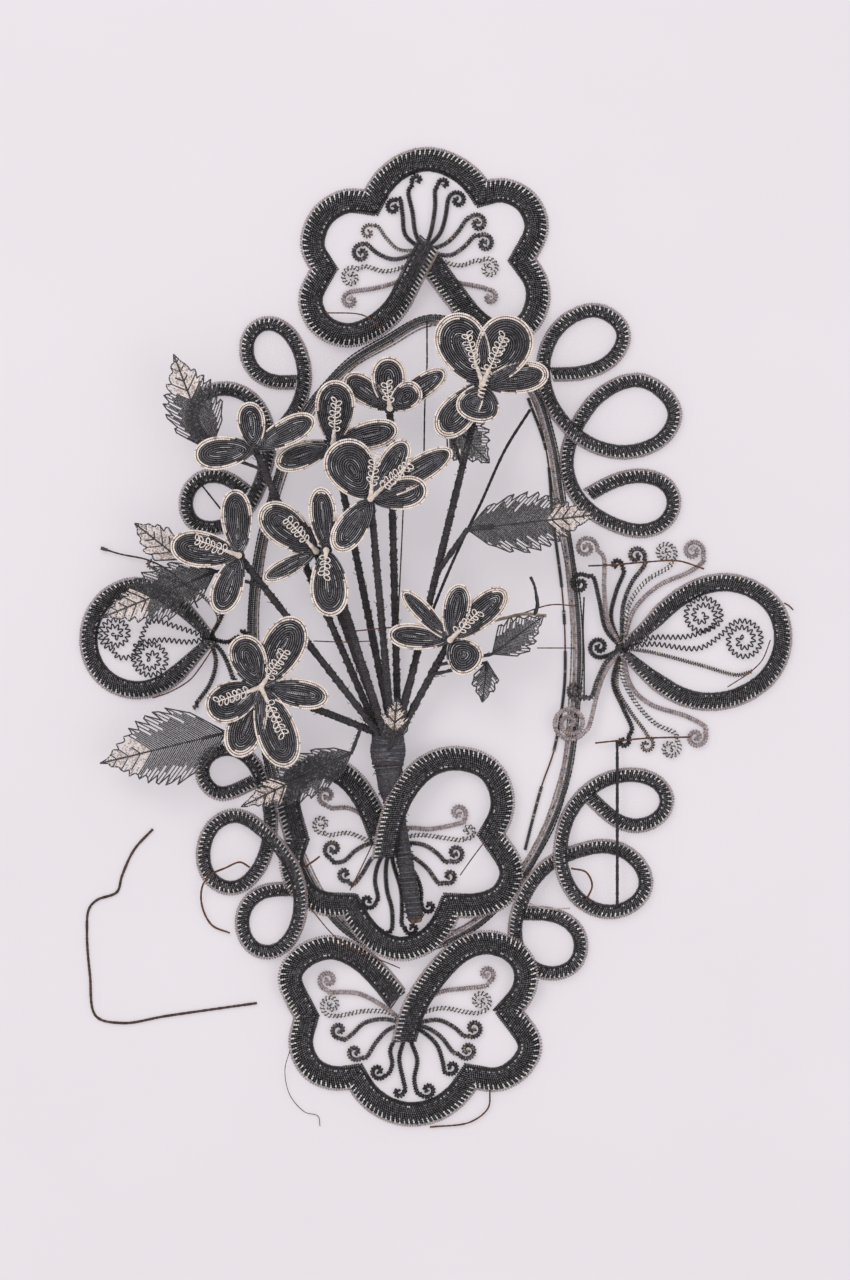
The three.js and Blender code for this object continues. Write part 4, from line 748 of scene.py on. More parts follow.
# Kinds of curl: rope radius, strand, pitch of its turns, beads of the coil, beads of the core and its radius
BLACK_CURL_SHARES = {BLACK: 6, DARK: 4, HEMATITE: 1}
DARK_CURL_SHARES = {HEMATITE: 4, STEEL: 1, DARK: 4, TAN: 1}
PALE_CURL_SHARES = {PINKISH: 7, GREYISH: 4, TAN: 1}
STRIPE_SHARES = {BLACK: 5, DARK: 4}
STRIPE_CORE_SHARES = {WHITE: 5, SILVER: 2, PINKISH: 1}
ZIGZAG_SHARES = {BLACK: 5, DARK: 4, HEMATITE: 1}
RUSTY_SHARES = {TAN: 3, DARK: 4, OLD_WIRE: 2, BLACK: 2}
PLAIN_CURL = (1.2 * CURL_RADIUS, 0.8 * MM, 2.2 * MM)
STRIPED_CURL = (1.1 * CURL_RADIUS, 0.55 * MM, 3.4 * MM)
PLAIN_CORE_RADIUS = 0.9 * CURL_RADIUS
STRIPE_CORE_RADIUS = 0.75 * CURL_RADIUS
CURL_KINDS = {
    "black": (*PLAIN_CURL, BLACK_CURL_SHARES, BLACK_CURL_SHARES, PLAIN_CORE_RADIUS),
    "dark": (*PLAIN_CURL, DARK_CURL_SHARES, DARK_CURL_SHARES, PLAIN_CORE_RADIUS),
    "pale": (*PLAIN_CURL, PALE_CURL_SHARES, PALE_CURL_SHARES, PLAIN_CORE_RADIUS),
    "striped": (*STRIPED_CURL, STRIPE_SHARES, STRIPE_CORE_SHARES, STRIPE_CORE_RADIUS),
    "zigzag": (1.3 * CURL_RADIUS, 0.85 * MM, 4.5 * MM, ZIGZAG_SHARES, None, 0),
    "rusty": (CURL_RADIUS, 0.65 * MM, 2.2 * MM, RUSTY_SHARES, None, 0),
}


def curl_route(tie, centre, radius_pixels, arm_pixels):
    """From the tie along the arm, then inwards along a spiral, as the CAD wire runs."""
    layer = centre[2] if len(centre) > 2 else 0
    height = CURL_LIFT + CURL_RADIUS + layer * LAYER_HEIGHT
    arm, middle = spots(arm_pixels, height), spot(centre, height)
    reach = radius_pixels * METRES_PER_PIXEL - CURL_RADIUS
    heading, inward = arm[-1] - (arm[-2] if len(arm) > 1 else tie), middle - arm[-1]
    hand = 1 if heading[0] * inward[1] - heading[1] * inward[0] > 0 else -1
    start = math.atan2(-inward[1], -inward[0])
    is_wide = radius_pixels > WIDE_CURL_RADIUS_PIXELS
    turns = WIDE_CURL_TURNS if is_wide else reach / CURL_TURN_PITCH
    power = WIDE_CURL_TIGHTENING_POWER if is_wide else CURL_TIGHTENING_POWER
    shares = (np.arange(SPIRAL_SAMPLES) + 1) / SPIRAL_SAMPLES
    angles = start + hand * shares * turns * FULL_TURN
    distances = reach * (1 - (1 - CURL_INNER_SHARE) * shares ** power)
    spiral = middle + np.stack([distances * np.cos(angles), distances * np.sin(angles), 0 * angles], axis=1)
    for i, point in enumerate(arm):
        point[2] = tie[2] + (height - tie[2]) * min((i + 1) / CURL_RISE_POINTS, 1)
    return smooth_route(np.concatenate([[tie], arm, spiral]))


def add_coiled_rope(piece, route, radius, strand, turn_pitch, coil_shares, core_shares, core_radius):
    """A string of beads wound round a wire in open turns, over a core of beads where one is given."""
    if core_shares:
        points, ways = even_points(route, BEAD * CORE_BEAD_SHARE)
        piece.add(points, ways, core_radius, BEAD * CORE_BEAD_SHARE / 2, picked(len(points), core_shares))
    samples = FINE_COIL_SAMPLES if turn_pitch < COARSE_COIL_PITCH else COARSE_COIL_SAMPLES
    points, ways = even_points(route, turn_pitch / samples)
    coil = wound_round(points, ways, samples, radius - strand)
    half_length = np.linalg.norm(np.diff(coil, axis=0), axis=1).mean() * COIL_BEAD_SHARE
    piece.add(coil, np.gradient(coil, axis=0), strand, half_length, picked(len(coil), coil_shares))


BALL_RINGS = 7
BALL_RING_SAMPLES = 24
BALL_TILT = 0.45
BALL_SPIN = 0.8
BALL_DEPTH_SHARE = 0.72
BALL_HEIGHT_SHARE = 0.8
BALL_STRAND = 0.9 * MM
BALL_DARK_STEP = 3


def add_wound_ball(piece, centre, radius, half_height, slot_numbers=(THREAD, BLACK), strand=BALL_STRAND):
    """Wire and thread wound many times round a tie."""
    angles = np.linspace(0, FULL_TURN, BALL_RING_SAMPLES, endpoint=False)
    for k in range(BALL_RINGS):
        tilt, spin = k * BALL_TILT, k * BALL_SPIN
        x = radius * np.cos(angles)
        y = BALL_DEPTH_SHARE * radius * np.sin(angles) * math.cos(tilt)
        z = half_height * BALL_HEIGHT_SHARE * np.sin(angles) * math.sin(tilt)
        turned_x = x * math.cos(spin) - y * math.sin(spin)
        turned_y = x * math.sin(spin) + y * math.cos(spin)
        ring = centre + np.stack([turned_x, turned_y, z], axis=1)
        piece.add_tube(ring, strand, slot_numbers[k % BALL_DARK_STEP == 0], THREAD_SIDES, closed=True)


def filigree_piece(node, tie_pixel, curls):
    """Curled bead wires that leave one wound tie."""
    half_height = (BAND_RISE - CURL_LIFT) / 2
    tie = spot(tie_pixel, CURL_LIFT + half_height)
    piece = Beads()
    for kind, centre, radius_pixels, arm_pixels in curls:
        add_coiled_rope(piece, curl_route(tie, centre, radius_pixels, arm_pixels), *CURL_KINDS[kind])
    add_wound_ball(piece, tie, TIE_RADIUS * TIE_BALL_SHARE, half_height)
    piece.build("beads_" + node, nodes=(node,))


# The oval and its wires

RING_STRINGS = 10
RING_SHARES = {BLACK: 6, DARK: 4, HEMATITE: 1}
RING_RIGHT_SHARES = {PINKISH: 5, GREYISH: 4, TAN: 1}
RING_EDGE_SHARES = {PINKISH: 3, GREYISH: 4, TAN: 3, DARK: 1}
RING_RIGHT_FROM_SHARE = 0.2
RING_EDGE_FROM_SHARE = 0.75

# Loose strands beside the ring: how far out to the right, in radii of the ring, and their beads
RING_STRANDS = ((1.45, {PINKISH: 4, GREYISH: 3, TAN: 2}), (-1.35, {BLACK: 3, DARK: 3, TAN: 1}))
STRAND_HEIGHT = 1.0 * MM
STRAND_RADIUS = 0.85 * MM
STRAND_SPAN_BEADS = 16
STRAND_REACH_SHARES = (0.72, 1.0)

# Wires and rods
WIRE_PITCH = 1.5 * MM
WIRE_UNEVENNESS = 0.25
CROSS_WIRE_RADIUS = 0.9 * MM
LOOSE_WIRE_RADIUS = 1.35 * MM
ROD_RADIUS = 1.6 * MM
ROD_UNEVENNESS = 0.3
INNER_WIRE_RADIUS = 0.8 * MM
INNER_WIRE_LIFT = 1.7 * MM
INNER_WIRE_PITCH = 3 * MM
INNER_WIRE_UNEVENNESS = 0.12
INNER_BEAD_RADIUS = 1.9 * MM
INNER_BEAD_PITCH = 1.6 * MM
INNER_BEAD_SHARES = {BLACK: 5, DARK: 4, TAN: 1}
INNER_BEADED_SHARES = ((0.0, 0.12), (0.16, 0.42), (0.47, 0.5), (0.56, 0.78), (0.86, 1.0))


def ring_piece():
    """The oval frame: strings of beads laid round a wire, and a loose strand along each side."""
    route = smooth_route(spots(OVAL_RING_PIXELS, RING_RADIUS), closed=True)
    points, ways = even_points(route, BEAD, closed=True)
    count = len(points)
    right = level_right(ways)
    wind = RING_RADIUS - BEAD / 2
    piece = Beads()
    for k in range(RING_STRINGS):
        angle = FULL_TURN * k / RING_STRINGS
        outward = math.cos(angle)
        slots = picked(count, RING_SHARES)
        right_slots = picked(count, RING_RIGHT_SHARES)
        slots = np.where((points[:, 0] > 0) & (outward > RING_RIGHT_FROM_SHARE), right_slots, slots)
        if outward > RING_EDGE_FROM_SHARE:
            slots = picked(count, RING_EDGE_SHARES)
        centres = points + right * wind * outward + UP * wind * math.sin(angle)
        piece.add(centres, ways, BEAD / 2, BEAD / 2, slots)
    for reach, shares in RING_STRANDS:
        ties = np.arange(count // STRAND_SPAN_BEADS + 2) * STRAND_SPAN_BEADS
        reaches = np.interp(np.arange(count), ties, rng.uniform(*STRAND_REACH_SHARES, len(ties)))
        centres = (points + right * (RING_RADIUS * reach * reaches)[:, None])[::2]
        centres[:, 2] = STRAND_HEIGHT
        piece.add(centres, ways[::2], STRAND_RADIUS, BEAD, picked(len(centres), shares))
    piece.build("beads_oval_beaded_ring", nodes=("oval_beaded_ring",))


def add_rough_wire(piece, route, radius, slot_number, pitch=WIRE_PITCH, unevenness=WIRE_UNEVENNESS):
    """A wire or wound stick whose thickness wavers along it."""
    points = np.concatenate([route[:1], even_points(route, pitch)[0], route[-1:]])
    piece.add_tube(points, radius * (1 - unevenness * rng.random(len(points))), slot_number)


def add_bead_run(piece, route, radius, pitch, slot_shares, part=(0, 1)):
    """Single beads strung on part of a route."""
    points, ways = even_points(route, pitch)
    first, last = (int(share * len(points)) for share in part)
    piece.add(points[first:last], ways[first:last], radius, pitch / 2, picked(last - first, slot_shares))


def wire_route(pixels, lift):
    """A smooth route through pixel places, lifted so that a wire of that radius lies on its layer."""
    route = spots(pixels)
    route[:, 2] += lift
    return smooth_route(route)


def inner_wire_piece():
    """The inner wire of the oval, with beads left on some stretches."""
    route = wire_route(INNER_WIRE_PIXELS, INNER_WIRE_LIFT)
    piece = Beads()
    add_rough_wire(piece, route, INNER_WIRE_RADIUS, RUST, INNER_WIRE_PITCH, INNER_WIRE_UNEVENNESS)
    for part in INNER_BEADED_SHARES:
        add_bead_run(piece, route, INNER_BEAD_RADIUS, INNER_BEAD_PITCH, INNER_BEAD_SHARES, part)
    piece.build("beads_oval_inner_wire", nodes=("oval_inner_wire",))


def cross_wire_lower_piece():
    """The lower cross wire and the wound rod that hangs from it."""
    piece = Beads()
    add_rough_wire(piece, wire_route(LOWER_CROSS_WIRE_PIXELS, CROSS_WIRE_RADIUS), CROSS_WIRE_RADIUS, RUST)
    rod = wire_route(UPRIGHT_ROD_PIXELS, ROD_RADIUS)
    add_rough_wire(piece, rod, ROD_RADIUS, ROD, unevenness=ROD_UNEVENNESS)
    piece.build("wire_cross_wire_lower", nodes=("cross_wire_lower",))


def wire_piece(name, pixels, radius, slot_number, nodes=(), body="wreath"):
    piece = Beads()
    add_rough_wire(piece, wire_route(pixels, radius), radius, slot_number)
    piece.build(name, body, nodes)


# Flowers

PETAL_FOCUS_SHARE = 0.55
PETAL_CUP_SHARE = 0.16
PETAL_RIM_LEAN = 0.7
PETAL_ROW_PITCH = 2.25 * MM
PETAL_LEAST_ROWS = 3
PETAL_SAMPLES = 90
PETAL_JITTER = 0.1 * BEAD

# Least and greatest share of the petal's length at which the pale rim of each outer row starts
PETAL_RIM_SHARES = ([0.1, 0.3, 0.75], [0.3, 0.6, 1.3])
PETAL_SHARES = {DARK: 4, BLACK: 6}
RIM_SHARES = {CREAM: 9, PINKISH: 1}
# Pale slender beads laid over each dark petal row: painted highlights, in runs of one tone
PAINTED_HIGHLIGHT_SHARES = {STEEL: 7, SILVER: 1, HEMATITE: 2}
PAINTED_HIGHLIGHT_RUN = 5
HIGHLIGHTED_SHARE = 0.94
FLOWER_BALL_SHARE = 0.9

# Beads of a petal: radius as a share of the row pitch, pitch and half length as shares of a bead
TOP_ROW_SHARES = (0.47, 0.95, 0.48)
# The under rows are black beads sunk between the top rows: painted shade in the gaps between rows
SHADE_ROW_SHARES = (0.55, 1.4, 0.75)
SHADE_ROW_DEPTH_SHARE = 0.45
# Size and lift of the painted highlight beads over the rows
HIGHLIGHT_RADIUS_SHARE = 0.2
HIGHLIGHT_HALF_SHARE = 0.56
HIGHLIGHT_LIFT_SHARE = 0.34


def add_petal(piece, knot, petal):
    """Rows of beads laid one inside the other, from the rim to the middle of a dished petal, with black rows
    sunk between them as painted shade and slender pale beads over them as painted highlights.
    """
    column, row, width_pixels, lift = petal
    along = spot((column, row), knot[2] + lift * MM) - knot
    length = np.linalg.norm(along)
    forward = along / length
    across = level_right(along[None])[0]
    up = unit(np.cross(across, along))
    half_width = width_pixels * METRES_PER_PIXEL / 2
    least = min(half_width, length / 2)
    rows = max(int(round(least / PETAL_ROW_PITCH)), PETAL_LEAST_ROWS)
    pitch = least / rows
    turn = np.linspace(0, FULL_TURN, PETAL_SAMPLES, endpoint=False)
    share = (1 - np.cos(turn)) / 2
    side = np.sin(turn) * np.sqrt((share + PETAL_FOCUS_SHARE) / (1 + PETAL_FOCUS_SHARE))
    rim_starts = rng.uniform(*PETAL_RIM_SHARES)
    rim_way = (forward + across * rng.uniform(-PETAL_RIM_LEAN, PETAL_RIM_LEAN)) / length

    def row_at(inset, rise, bead_share):
        reach = length / 2 + (share - 0.5) * (length - 2 * inset)
        height = rise - half_width * PETAL_CUP_SHARE * inset / least
        loop = knot + np.outer(reach, forward) + np.outer(side * (half_width - inset), across) + up * height
        return even_points(loop, BEAD * bead_share, closed=True)

    def add_row(points, ways, radius_share, half_share, slots):
        piece.add(points, ways, pitch * radius_share, BEAD * half_share, slots)

    for j in range(rows):
        inset = (j + 0.5) * pitch
        is_inmost = j == rows - 1
        radius_share, bead_share, half_share = TOP_ROW_SHARES
        points, ways = row_at(inset, rng.normal(0, PETAL_JITTER), bead_share)
        slots = picked(len(points), PETAL_SHARES)
        rim = np.zeros(len(points), bool)
        if j < len(rim_starts) and not is_inmost:
            rim = (points - knot) @ rim_way > rim_starts[j]
            slots[rim] = picked(rim.sum(), RIM_SHARES)
        add_row(points, ways, radius_share, half_share, slots)
        if not is_inmost:
            # A black row sunk between this row and the next: painted shade in the gap
            radius_share, bead_share, half_share = SHADE_ROW_SHARES
            under, under_ways = row_at(inset + pitch / 2, -SHADE_ROW_DEPTH_SHARE * pitch, bead_share)
            add_row(under, under_ways, radius_share, half_share, picked(len(under), {BLACK: 1}))
        # Painted highlights: slender steel, silver and hematite beads over most of the dark row
        highlighted = ~rim & (rng.random(len(points)) < HIGHLIGHTED_SHARE)
        if highlighted.any():
            highlight_slots = np.repeat(picked(highlighted.sum() // PAINTED_HIGHLIGHT_RUN + 1, PAINTED_HIGHLIGHT_SHARES), PAINTED_HIGHLIGHT_RUN)[:highlighted.sum()]
            lifted = points[highlighted] + up * pitch * HIGHLIGHT_LIFT_SHARE
            add_row(lifted, ways[highlighted], HIGHLIGHT_RADIUS_SHARE, HIGHLIGHT_HALF_SHARE, highlight_slots)


def knot_of(flower):
    """The middle of the knot that holds a flower's petals."""
    return spot(flower.knot, flower.height * MM)


def flower_piece(flower):
    """Petals that leave one wound knot."""
    knot = knot_of(flower)
    piece = Beads()
    for petal in flower.petals:
        add_petal(piece, knot, petal)
    add_wound_ball(piece, knot, KNOT_RADIUS * FLOWER_BALL_SHARE, KNOT_RADIUS * FLOWER_BALL_SHARE)
    piece.build("beads_flower_" + flower.name, nodes=("flower_" + flower.name,))


# Stamens

STAMEN_SHARES = {CREAM: 6, WHITE: 3, PINKISH: 1}
STAMEN_BEND_SHARE = 0.35
STAMEN_BEAD_RADIUS = 0.6 * MM
STAMEN_BEAD_PITCH = 1.4 * MM
STAMEN_CORD_RADII = (1.9 * MM, 1.1 * MM)
STAMEN_CORD_STRAND = 0.55 * MM
STAMEN_CORD_PITCH = 1.25 * MM
STAMEN_BALL_STRAND = 0.6 * MM
STAMEN_BALL_SHARES = (0.9, 0.8)

# The bead rings along the outer two thirds of a stamen
LOOP_PITCH = 2.7 * MM
LOOP_FREE_PARTS = 3
LOOP_BEADS = 10
LOOP_LEANS = (0.1, 0.9)
LOOP_TILT = 0.7
LOOP_HALF_LENGTHS = (2.3 * MM, 3.1 * MM)
LOOP_HALF_WIDTHS = (1.4 * MM, 2.1 * MM)
LOOP_BEAD_RADIUS = 0.62 * MM
LOOP_BEAD_HALF_LENGTH = 0.8 * MM

# Threads wound in open turns
COIL_SAMPLES = 9
COIL_SWAY_SHARE = 0.12
COIL_SWAY_TURNS = 5.3


def add_coil(piece, route, radii, strand, turn_pitch, slot_number):
    """A thread wound round a route, from the first radius to the last."""
    points, ways = even_points(route, turn_pitch / COIL_SAMPLES)
    turns = np.arange(len(points)) / COIL_SAMPLES
    sway = 1 + COIL_SWAY_SHARE * np.sin(FULL_TURN * turns / COIL_SWAY_TURNS)
    out = np.linspace(radii[0], radii[1], len(points)) * sway
    piece.add_tube(wound_round(points, ways, COIL_SAMPLES, out), strand, slot_number, THREAD_SIDES)


def add_bead_loop(piece, root, way, side):
    """A ring of small beads that stands out to one side of a stamen."""
    long_way = unit(way * rng.uniform(*LOOP_LEANS) + side)
    short_way = unit(np.cross(long_way, UP) + UP * rng.uniform(-LOOP_TILT, LOOP_TILT))
    half_length, half_width = rng.uniform(*LOOP_HALF_LENGTHS), rng.uniform(*LOOP_HALF_WIDTHS)
    turns = np.linspace(0, FULL_TURN, LOOP_BEADS, endpoint=False)
    ring = root + np.outer(1 + np.cos(turns), long_way * half_length)
    ring = ring + np.outer(np.sin(turns), short_way * half_width)
    slots = picked(LOOP_BEADS, STAMEN_SHARES)
    piece.add(ring, closed_ways(ring), LOOP_BEAD_RADIUS, LOOP_BEAD_HALF_LENGTH, slots)


def stamens_piece(flower):
    """Strings of small bead rings that stand out from a wound cord at the flower's middle."""
    base = knot_of(flower) + UP * (KNOT_RADIUS + CLEARANCE + STAMEN_BASE_RADIUS)
    piece = Beads()
    for pixel in flower.stamens:
        tip = spot(pixel, base[2] + STAMEN_LIFT)
        middle = base + (tip - base) * STAMEN_BEND_SHARE
        middle[2] = tip[2]
        route = smooth_route(np.array([base, middle, tip]))
        add_bead_run(piece, route, STAMEN_BEAD_RADIUS, STAMEN_BEAD_PITCH, STAMEN_SHARES)
        cord = route[:len(route) // 2]
        add_coil(piece, cord, STAMEN_CORD_RADII, STAMEN_CORD_STRAND, STAMEN_CORD_PITCH, CREAM)
        points, ways = even_points(route, LOOP_PITCH)
        sides = level_right(ways)
        for k in range(len(points) // LOOP_FREE_PARTS, len(points)):
            add_bead_loop(piece, points[k], ways[k], sides[k] if k % 2 else -sides[k])
    radius, half_height = (STAMEN_BASE_RADIUS * share for share in STAMEN_BALL_SHARES)
    add_wound_ball(piece, base, radius, half_height, (CREAM, CREAM), STAMEN_BALL_STRAND)
    piece.build("beads_stamens_" + flower.name, nodes=("stamens_" + flower.name,))


# Stems and handle, as the CAD routes them

STEM_SLOT_ANGLE = FULL_TURN / len(FLOWERS_PIXELS)
STEM_CIRCLE_RADIUS = (STEM_RADIUS + CLEARANCE) / math.sin(STEM_SLOT_ANGLE / 2)
HANDLE_TOP_RADIUS = STEM_CIRCLE_RADIUS - STEM_RADIUS - CLEARANCE
STEM_STEPS = 5
STEM_RISE_POWER = 1.8
STEM_TOP_SHARE = 0.85
BINDING_SIDES = 14
BINDING_BORE_RADIUS = (STEM_CIRCLE_RADIUS + STEM_RADIUS + CLEARANCE) / math.cos(math.pi / BINDING_SIDES)


def stem_route(flower):
    """From the binding's lower end through its slot, then rising to the underside of the flower's knot."""
    angle = math.pi - flower.slot * STEM_SLOT_ANGLE
    x = bundle[0] + STEM_CIRCLE_RADIUS * math.cos(angle)
    z = bundle[2] + STEM_CIRCLE_RADIUS * math.sin(angle)
    start = np.array([x, bundle[1] - BINDING_LENGTH / 2, z])
    leave = np.array([x, bundle[1] + BINDING_LENGTH / 2 + STEM_RADIUS, z])
    end = knot_of(flower) - UP * (KNOT_RADIUS + CLEARANCE)
    tilt = math.atan2((end[2] - leave[2]) * STEM_RISE_POWER, math.hypot(end[0] - leave[0], end[1] - leave[1]))
    end[2] -= STEM_TOP_SHARE * STEM_RADIUS * math.cos(tilt)
    route = [start, leave]
    for i in range(1, STEM_STEPS + 1):
        share = i / STEM_STEPS
        point = leave + (end - leave) * share
        point[2] = leave[2] + (end[2] - leave[2]) * share ** STEM_RISE_POWER
        route.append(point)
    return np.array(route)


# Thread wound close, and the loose fibres on it
WOUND_PITCH = 4 * MM
WOUND_THREAD_PITCH_SHARE = 2.1
WOUND_BUMPS = (-1, 0.7)
WOUND_BUMP_SHARE = 0.2
FIBRE_LENGTHS = (1.5 * MM, 6 * MM)
FIBRE_BOW = 0.6 * MM
FIBRE_SPREAD = 0.6
FIBRE_LEAN = 2
FIBRE_RADIUS = 0.22 * MM
FIBRE_LEAST_HEIGHT = 0.3 * MM
WORN_FIBRE_STEP = 3
STEM_WOUND_SHARE = 1.2
STEM_STRAND = 0.8 * MM
STEM_FIBRES = 36
WORN_COIL_SHARE = 1.12
WORN_STRAND = 0.42 * MM
WORN_PITCH = 9 * MM


def add_fibre(piece, middle, root, way, out, slot_number):
    """A loose fibre that stands off the wound thread."""
    spread = rng.normal(0, FIBRE_SPREAD, 3) + FIBRE_LEAN * way
    heading = unit(root - middle + spread * out)
    bow = rng.normal(0, FIBRE_BOW, 3)
    length = rng.uniform(*FIBRE_LENGTHS)
    fibre = np.array([root, root + heading * length / 2 + bow, root + heading * length])
    fibre[:, 2] = np.maximum(fibre[:, 2], FIBRE_LEAST_HEIGHT)
    piece.add_tube(fibre, FIBRE_RADIUS, slot_number, FINE_SIDES)


def add_wound_stick(piece, route, radii, strand, sides, fibres):
    """A stick wound with thread, its turns side by side, the radii being spread evenly along it."""
    points = fine_line(route, WOUND_PITCH)
    ends = np.linspace(0, 1, len(radii))
    stick_radii = np.interp(np.linspace(0, 1, len(points)), ends, radii)
    piece.add_tube(points, stick_radii - strand, THREAD, sides)
    thread = fine_line(route, WOUND_THREAD_PITCH_SHARE * strand / COIL_SAMPLES)
    ways = unit(np.gradient(thread, axis=0))
    shares = np.linspace(0, 1, len(thread))
    bumps = rng.uniform(*WOUND_BUMPS, max(2 * len(points), 4))
    wander = np.interp(shares, np.linspace(0, 1, len(bumps)), bumps) * WOUND_BUMP_SHARE * stick_radii.mean()
    out = np.interp(shares, ends, radii) - strand + wander
    coil = wound_round(thread, ways, COIL_SAMPLES, out)
    piece.add_tube(coil, strand, THREAD, FINE_SIDES)
    for i in rng.integers(0, len(thread) - 1, fibres):
        slot_number = WORN_THREAD if i % WORN_FIBRE_STEP == 0 else THREAD
        add_fibre(piece, thread[i], coil[i], ways[i], out[i], slot_number)


def stem_piece(flower):
    """A stem wound with thread, with a worn strand in open turns over it."""
    piece = Beads()
    route = stem_route(flower)
    add_wound_stick(piece, route, [STEM_RADIUS * STEM_WOUND_SHARE] * 2, STEM_STRAND, TUBE_SIDES, STEM_FIBRES)
    loose = even_points(smooth_route(route[1:]), WOUND_PITCH)[0]
    add_coil(piece, loose, [STEM_RADIUS * WORN_COIL_SHARE] * 2, WORN_STRAND, WORN_PITCH, WORN_THREAD)
    piece.build("wound_stem_" + flower.name, nodes=("stem_" + flower.name,))


# The handle, its wider neck below the binding and the wood that shows at its end
HANDLE_SIDES = 20
HANDLE_STRAND = 1.1 * MM
HANDLE_FIBRES = 60
# Coils over the bare handle: a pale coil of painted highlight, then a worn strand
HANDLE_COIL_SETTINGS = ((4.6 * MM, THREAD_PAINTED_HIGHLIGHT), (11 * MM, WORN_THREAD))
COIL_STRAND = 0.5 * MM
NECK_LENGTH = 46 * MM
NECK_RADIUS = 13.2 * MM
NECK_START_SHARE = 0.6
NECK_PITCH = 2 * MM
NECK_STRAND = 1.0 * MM
NECK_FIBRES = 30
NECK_COIL_PITCH = 5.5 * MM
WOOD_PLACES = (-2 * MM, 1.5 * MM, 3.5 * MM)
WOOD_RADII = (6.2 * MM, 6.0 * MM, 4.4 * MM)
WOOD_SIDES = 12


def handle_piece():
    """The stick of the bouquet: wound thread, a pale coil of painted highlight and a worn strand in open turns
    over it, and bare frayed wood at its end.
    """
    half = np.array([0, BINDING_LENGTH / 2, 0])
    top, below = bundle + half, bundle - half
    end = spot(HANDLE_END_PIXEL, HANDLE_END_HEIGHT)
    piece = Beads()
    radii = [HANDLE_TOP_RADIUS, HANDLE_END_RADIUS, HANDLE_END_RADIUS]
    add_wound_stick(piece, np.array([top, below, end]), radii, HANDLE_STRAND, HANDLE_SIDES, HANDLE_FIBRES)
    bare = np.array([below, (below + end) / 2, end])
    # Painted highlight coil and worn strand over the bare stick
    for pitch, slot_number in HANDLE_COIL_SETTINGS:
        add_coil(piece, bare, [HANDLE_END_RADIUS] * 2, COIL_STRAND, pitch, slot_number)
    way = unit(end - below)
    neck = np.array([bundle - half * NECK_START_SHARE, below, below + way * NECK_LENGTH])
    neck = fine_line(neck, NECK_PITCH)
    radii = [NECK_RADIUS, NECK_RADIUS, HANDLE_END_RADIUS]
    add_wound_stick(piece, neck, radii, NECK_STRAND, HANDLE_SIDES, NECK_FIBRES)
    # A pale coil of painted highlight over the neck
    add_coil(piece, neck, [NECK_RADIUS, HANDLE_END_RADIUS], COIL_STRAND, NECK_COIL_PITCH, THREAD_PAINTED_HIGHLIGHT)
    wood = np.array([end + way * place for place in WOOD_PLACES])
    piece.add_tube(wood, WOOD_RADII, WOOD, WOOD_SIDES)
    piece.build("wound_bouquet_handle", nodes=("bouquet_handle",))


# Layers of the binding: lean of its turns, depth in strands, number of turns and material
BINDING_LAYERS = (
    (0.05, 0, 12, THREAD),
    # A layer of paler thread: painted highlight on the binding
    (0.35, 0, 12, THREAD_PAINTED_HIGHLIGHT),
    (-0.35, 0, 12, THREAD),
    (0.6, 0.8, 12, THREAD),
    (-0.7, 0, 4, WORN_THREAD),
)
BINDING_STRAND = 1.0 * MM
BINDING_TURN_SAMPLES = 40
BINDING_PLACES = 11
BINDING_WOUND_SHARE = 0.86
BINDING_LEAN_SHARE = 0.5
BINDING_TURN_STEP = 0.3
BINDING_DEPTH_SPREAD = 0.7
BINDING_END_SHARE = 0.2


def binding_piece():
    """The sleeve of thread wound round the stems, in layers that lean across each other."""
    strand, half_length = BINDING_STRAND, BINDING_LENGTH / 2
    radius = BINDING_BORE_RADIUS + BINDING_WALL - 2 * strand
    angles = np.linspace(0, FULL_TURN, BINDING_TURN_SAMPLES, endpoint=False)
    piece = Beads()
    for lean, depth, turns, slot_number in BINDING_LAYERS:
        for k in range(turns):
            middle = (k / BINDING_PLACES - 0.5) * BINDING_LENGTH * BINDING_WOUND_SHARE
            y = middle + lean * radius * BINDING_LEAN_SHARE * np.sin(angles + k * BINDING_TURN_STEP)
            y = np.clip(y, strand - half_length, half_length - strand)
            taper = 1 - BINDING_END_SHARE * (y / half_length) ** 2
            out = (radius - (depth + rng.random() * BINDING_DEPTH_SPREAD) * strand) * taper
            ring = bundle + np.stack([out * np.cos(angles), y, out * np.sin(angles)], axis=1)
            piece.add_tube(ring, strand, slot_number, THREAD_SIDES, closed=True)
    piece.build("wound_bouquet_binding", nodes=("bouquet_binding",))


# Leaves

LEAF_ARCH_SHARE = 0.04
LEAF_FOLD_SHARE = 0.12
LEAF_BELLY_POWER = 0.75
LEAF_STRAND_PITCH = 1.85 * MM
LEAF_PITCH_SHARES = {"lower_left": 1.2}
LEAF_STRAND_RADIUS = 0.78 * MM
LEAF_STRANDS_SHARE = 0.93
LEAF_LOBE_PITCH = 12.5 * MM
LEAF_LOBE_SHARE = 0.3
LEAF_LOBE_TOP_SHARE = 1.05
LEAF_LEAN = 0.85
LEAF_STRAND_BOW = 0.22
LEAF_SHORT_SHARES = (0.55, 0.88)
LEAF_BEAD_PITCH = 0.85 * MM
LEAF_HALF_BEAD = 0.62 * MM
LEAF_RIM_PITCH = 1.15 * MM
LEAF_RIM_RADIUS = 0.8 * MM
LEAF_RIB_LIFT = 0.9 * MM
LEAF_RIB_SHARES = (0.02, 0.97)
LEAF_REACH_SAMPLES = 40
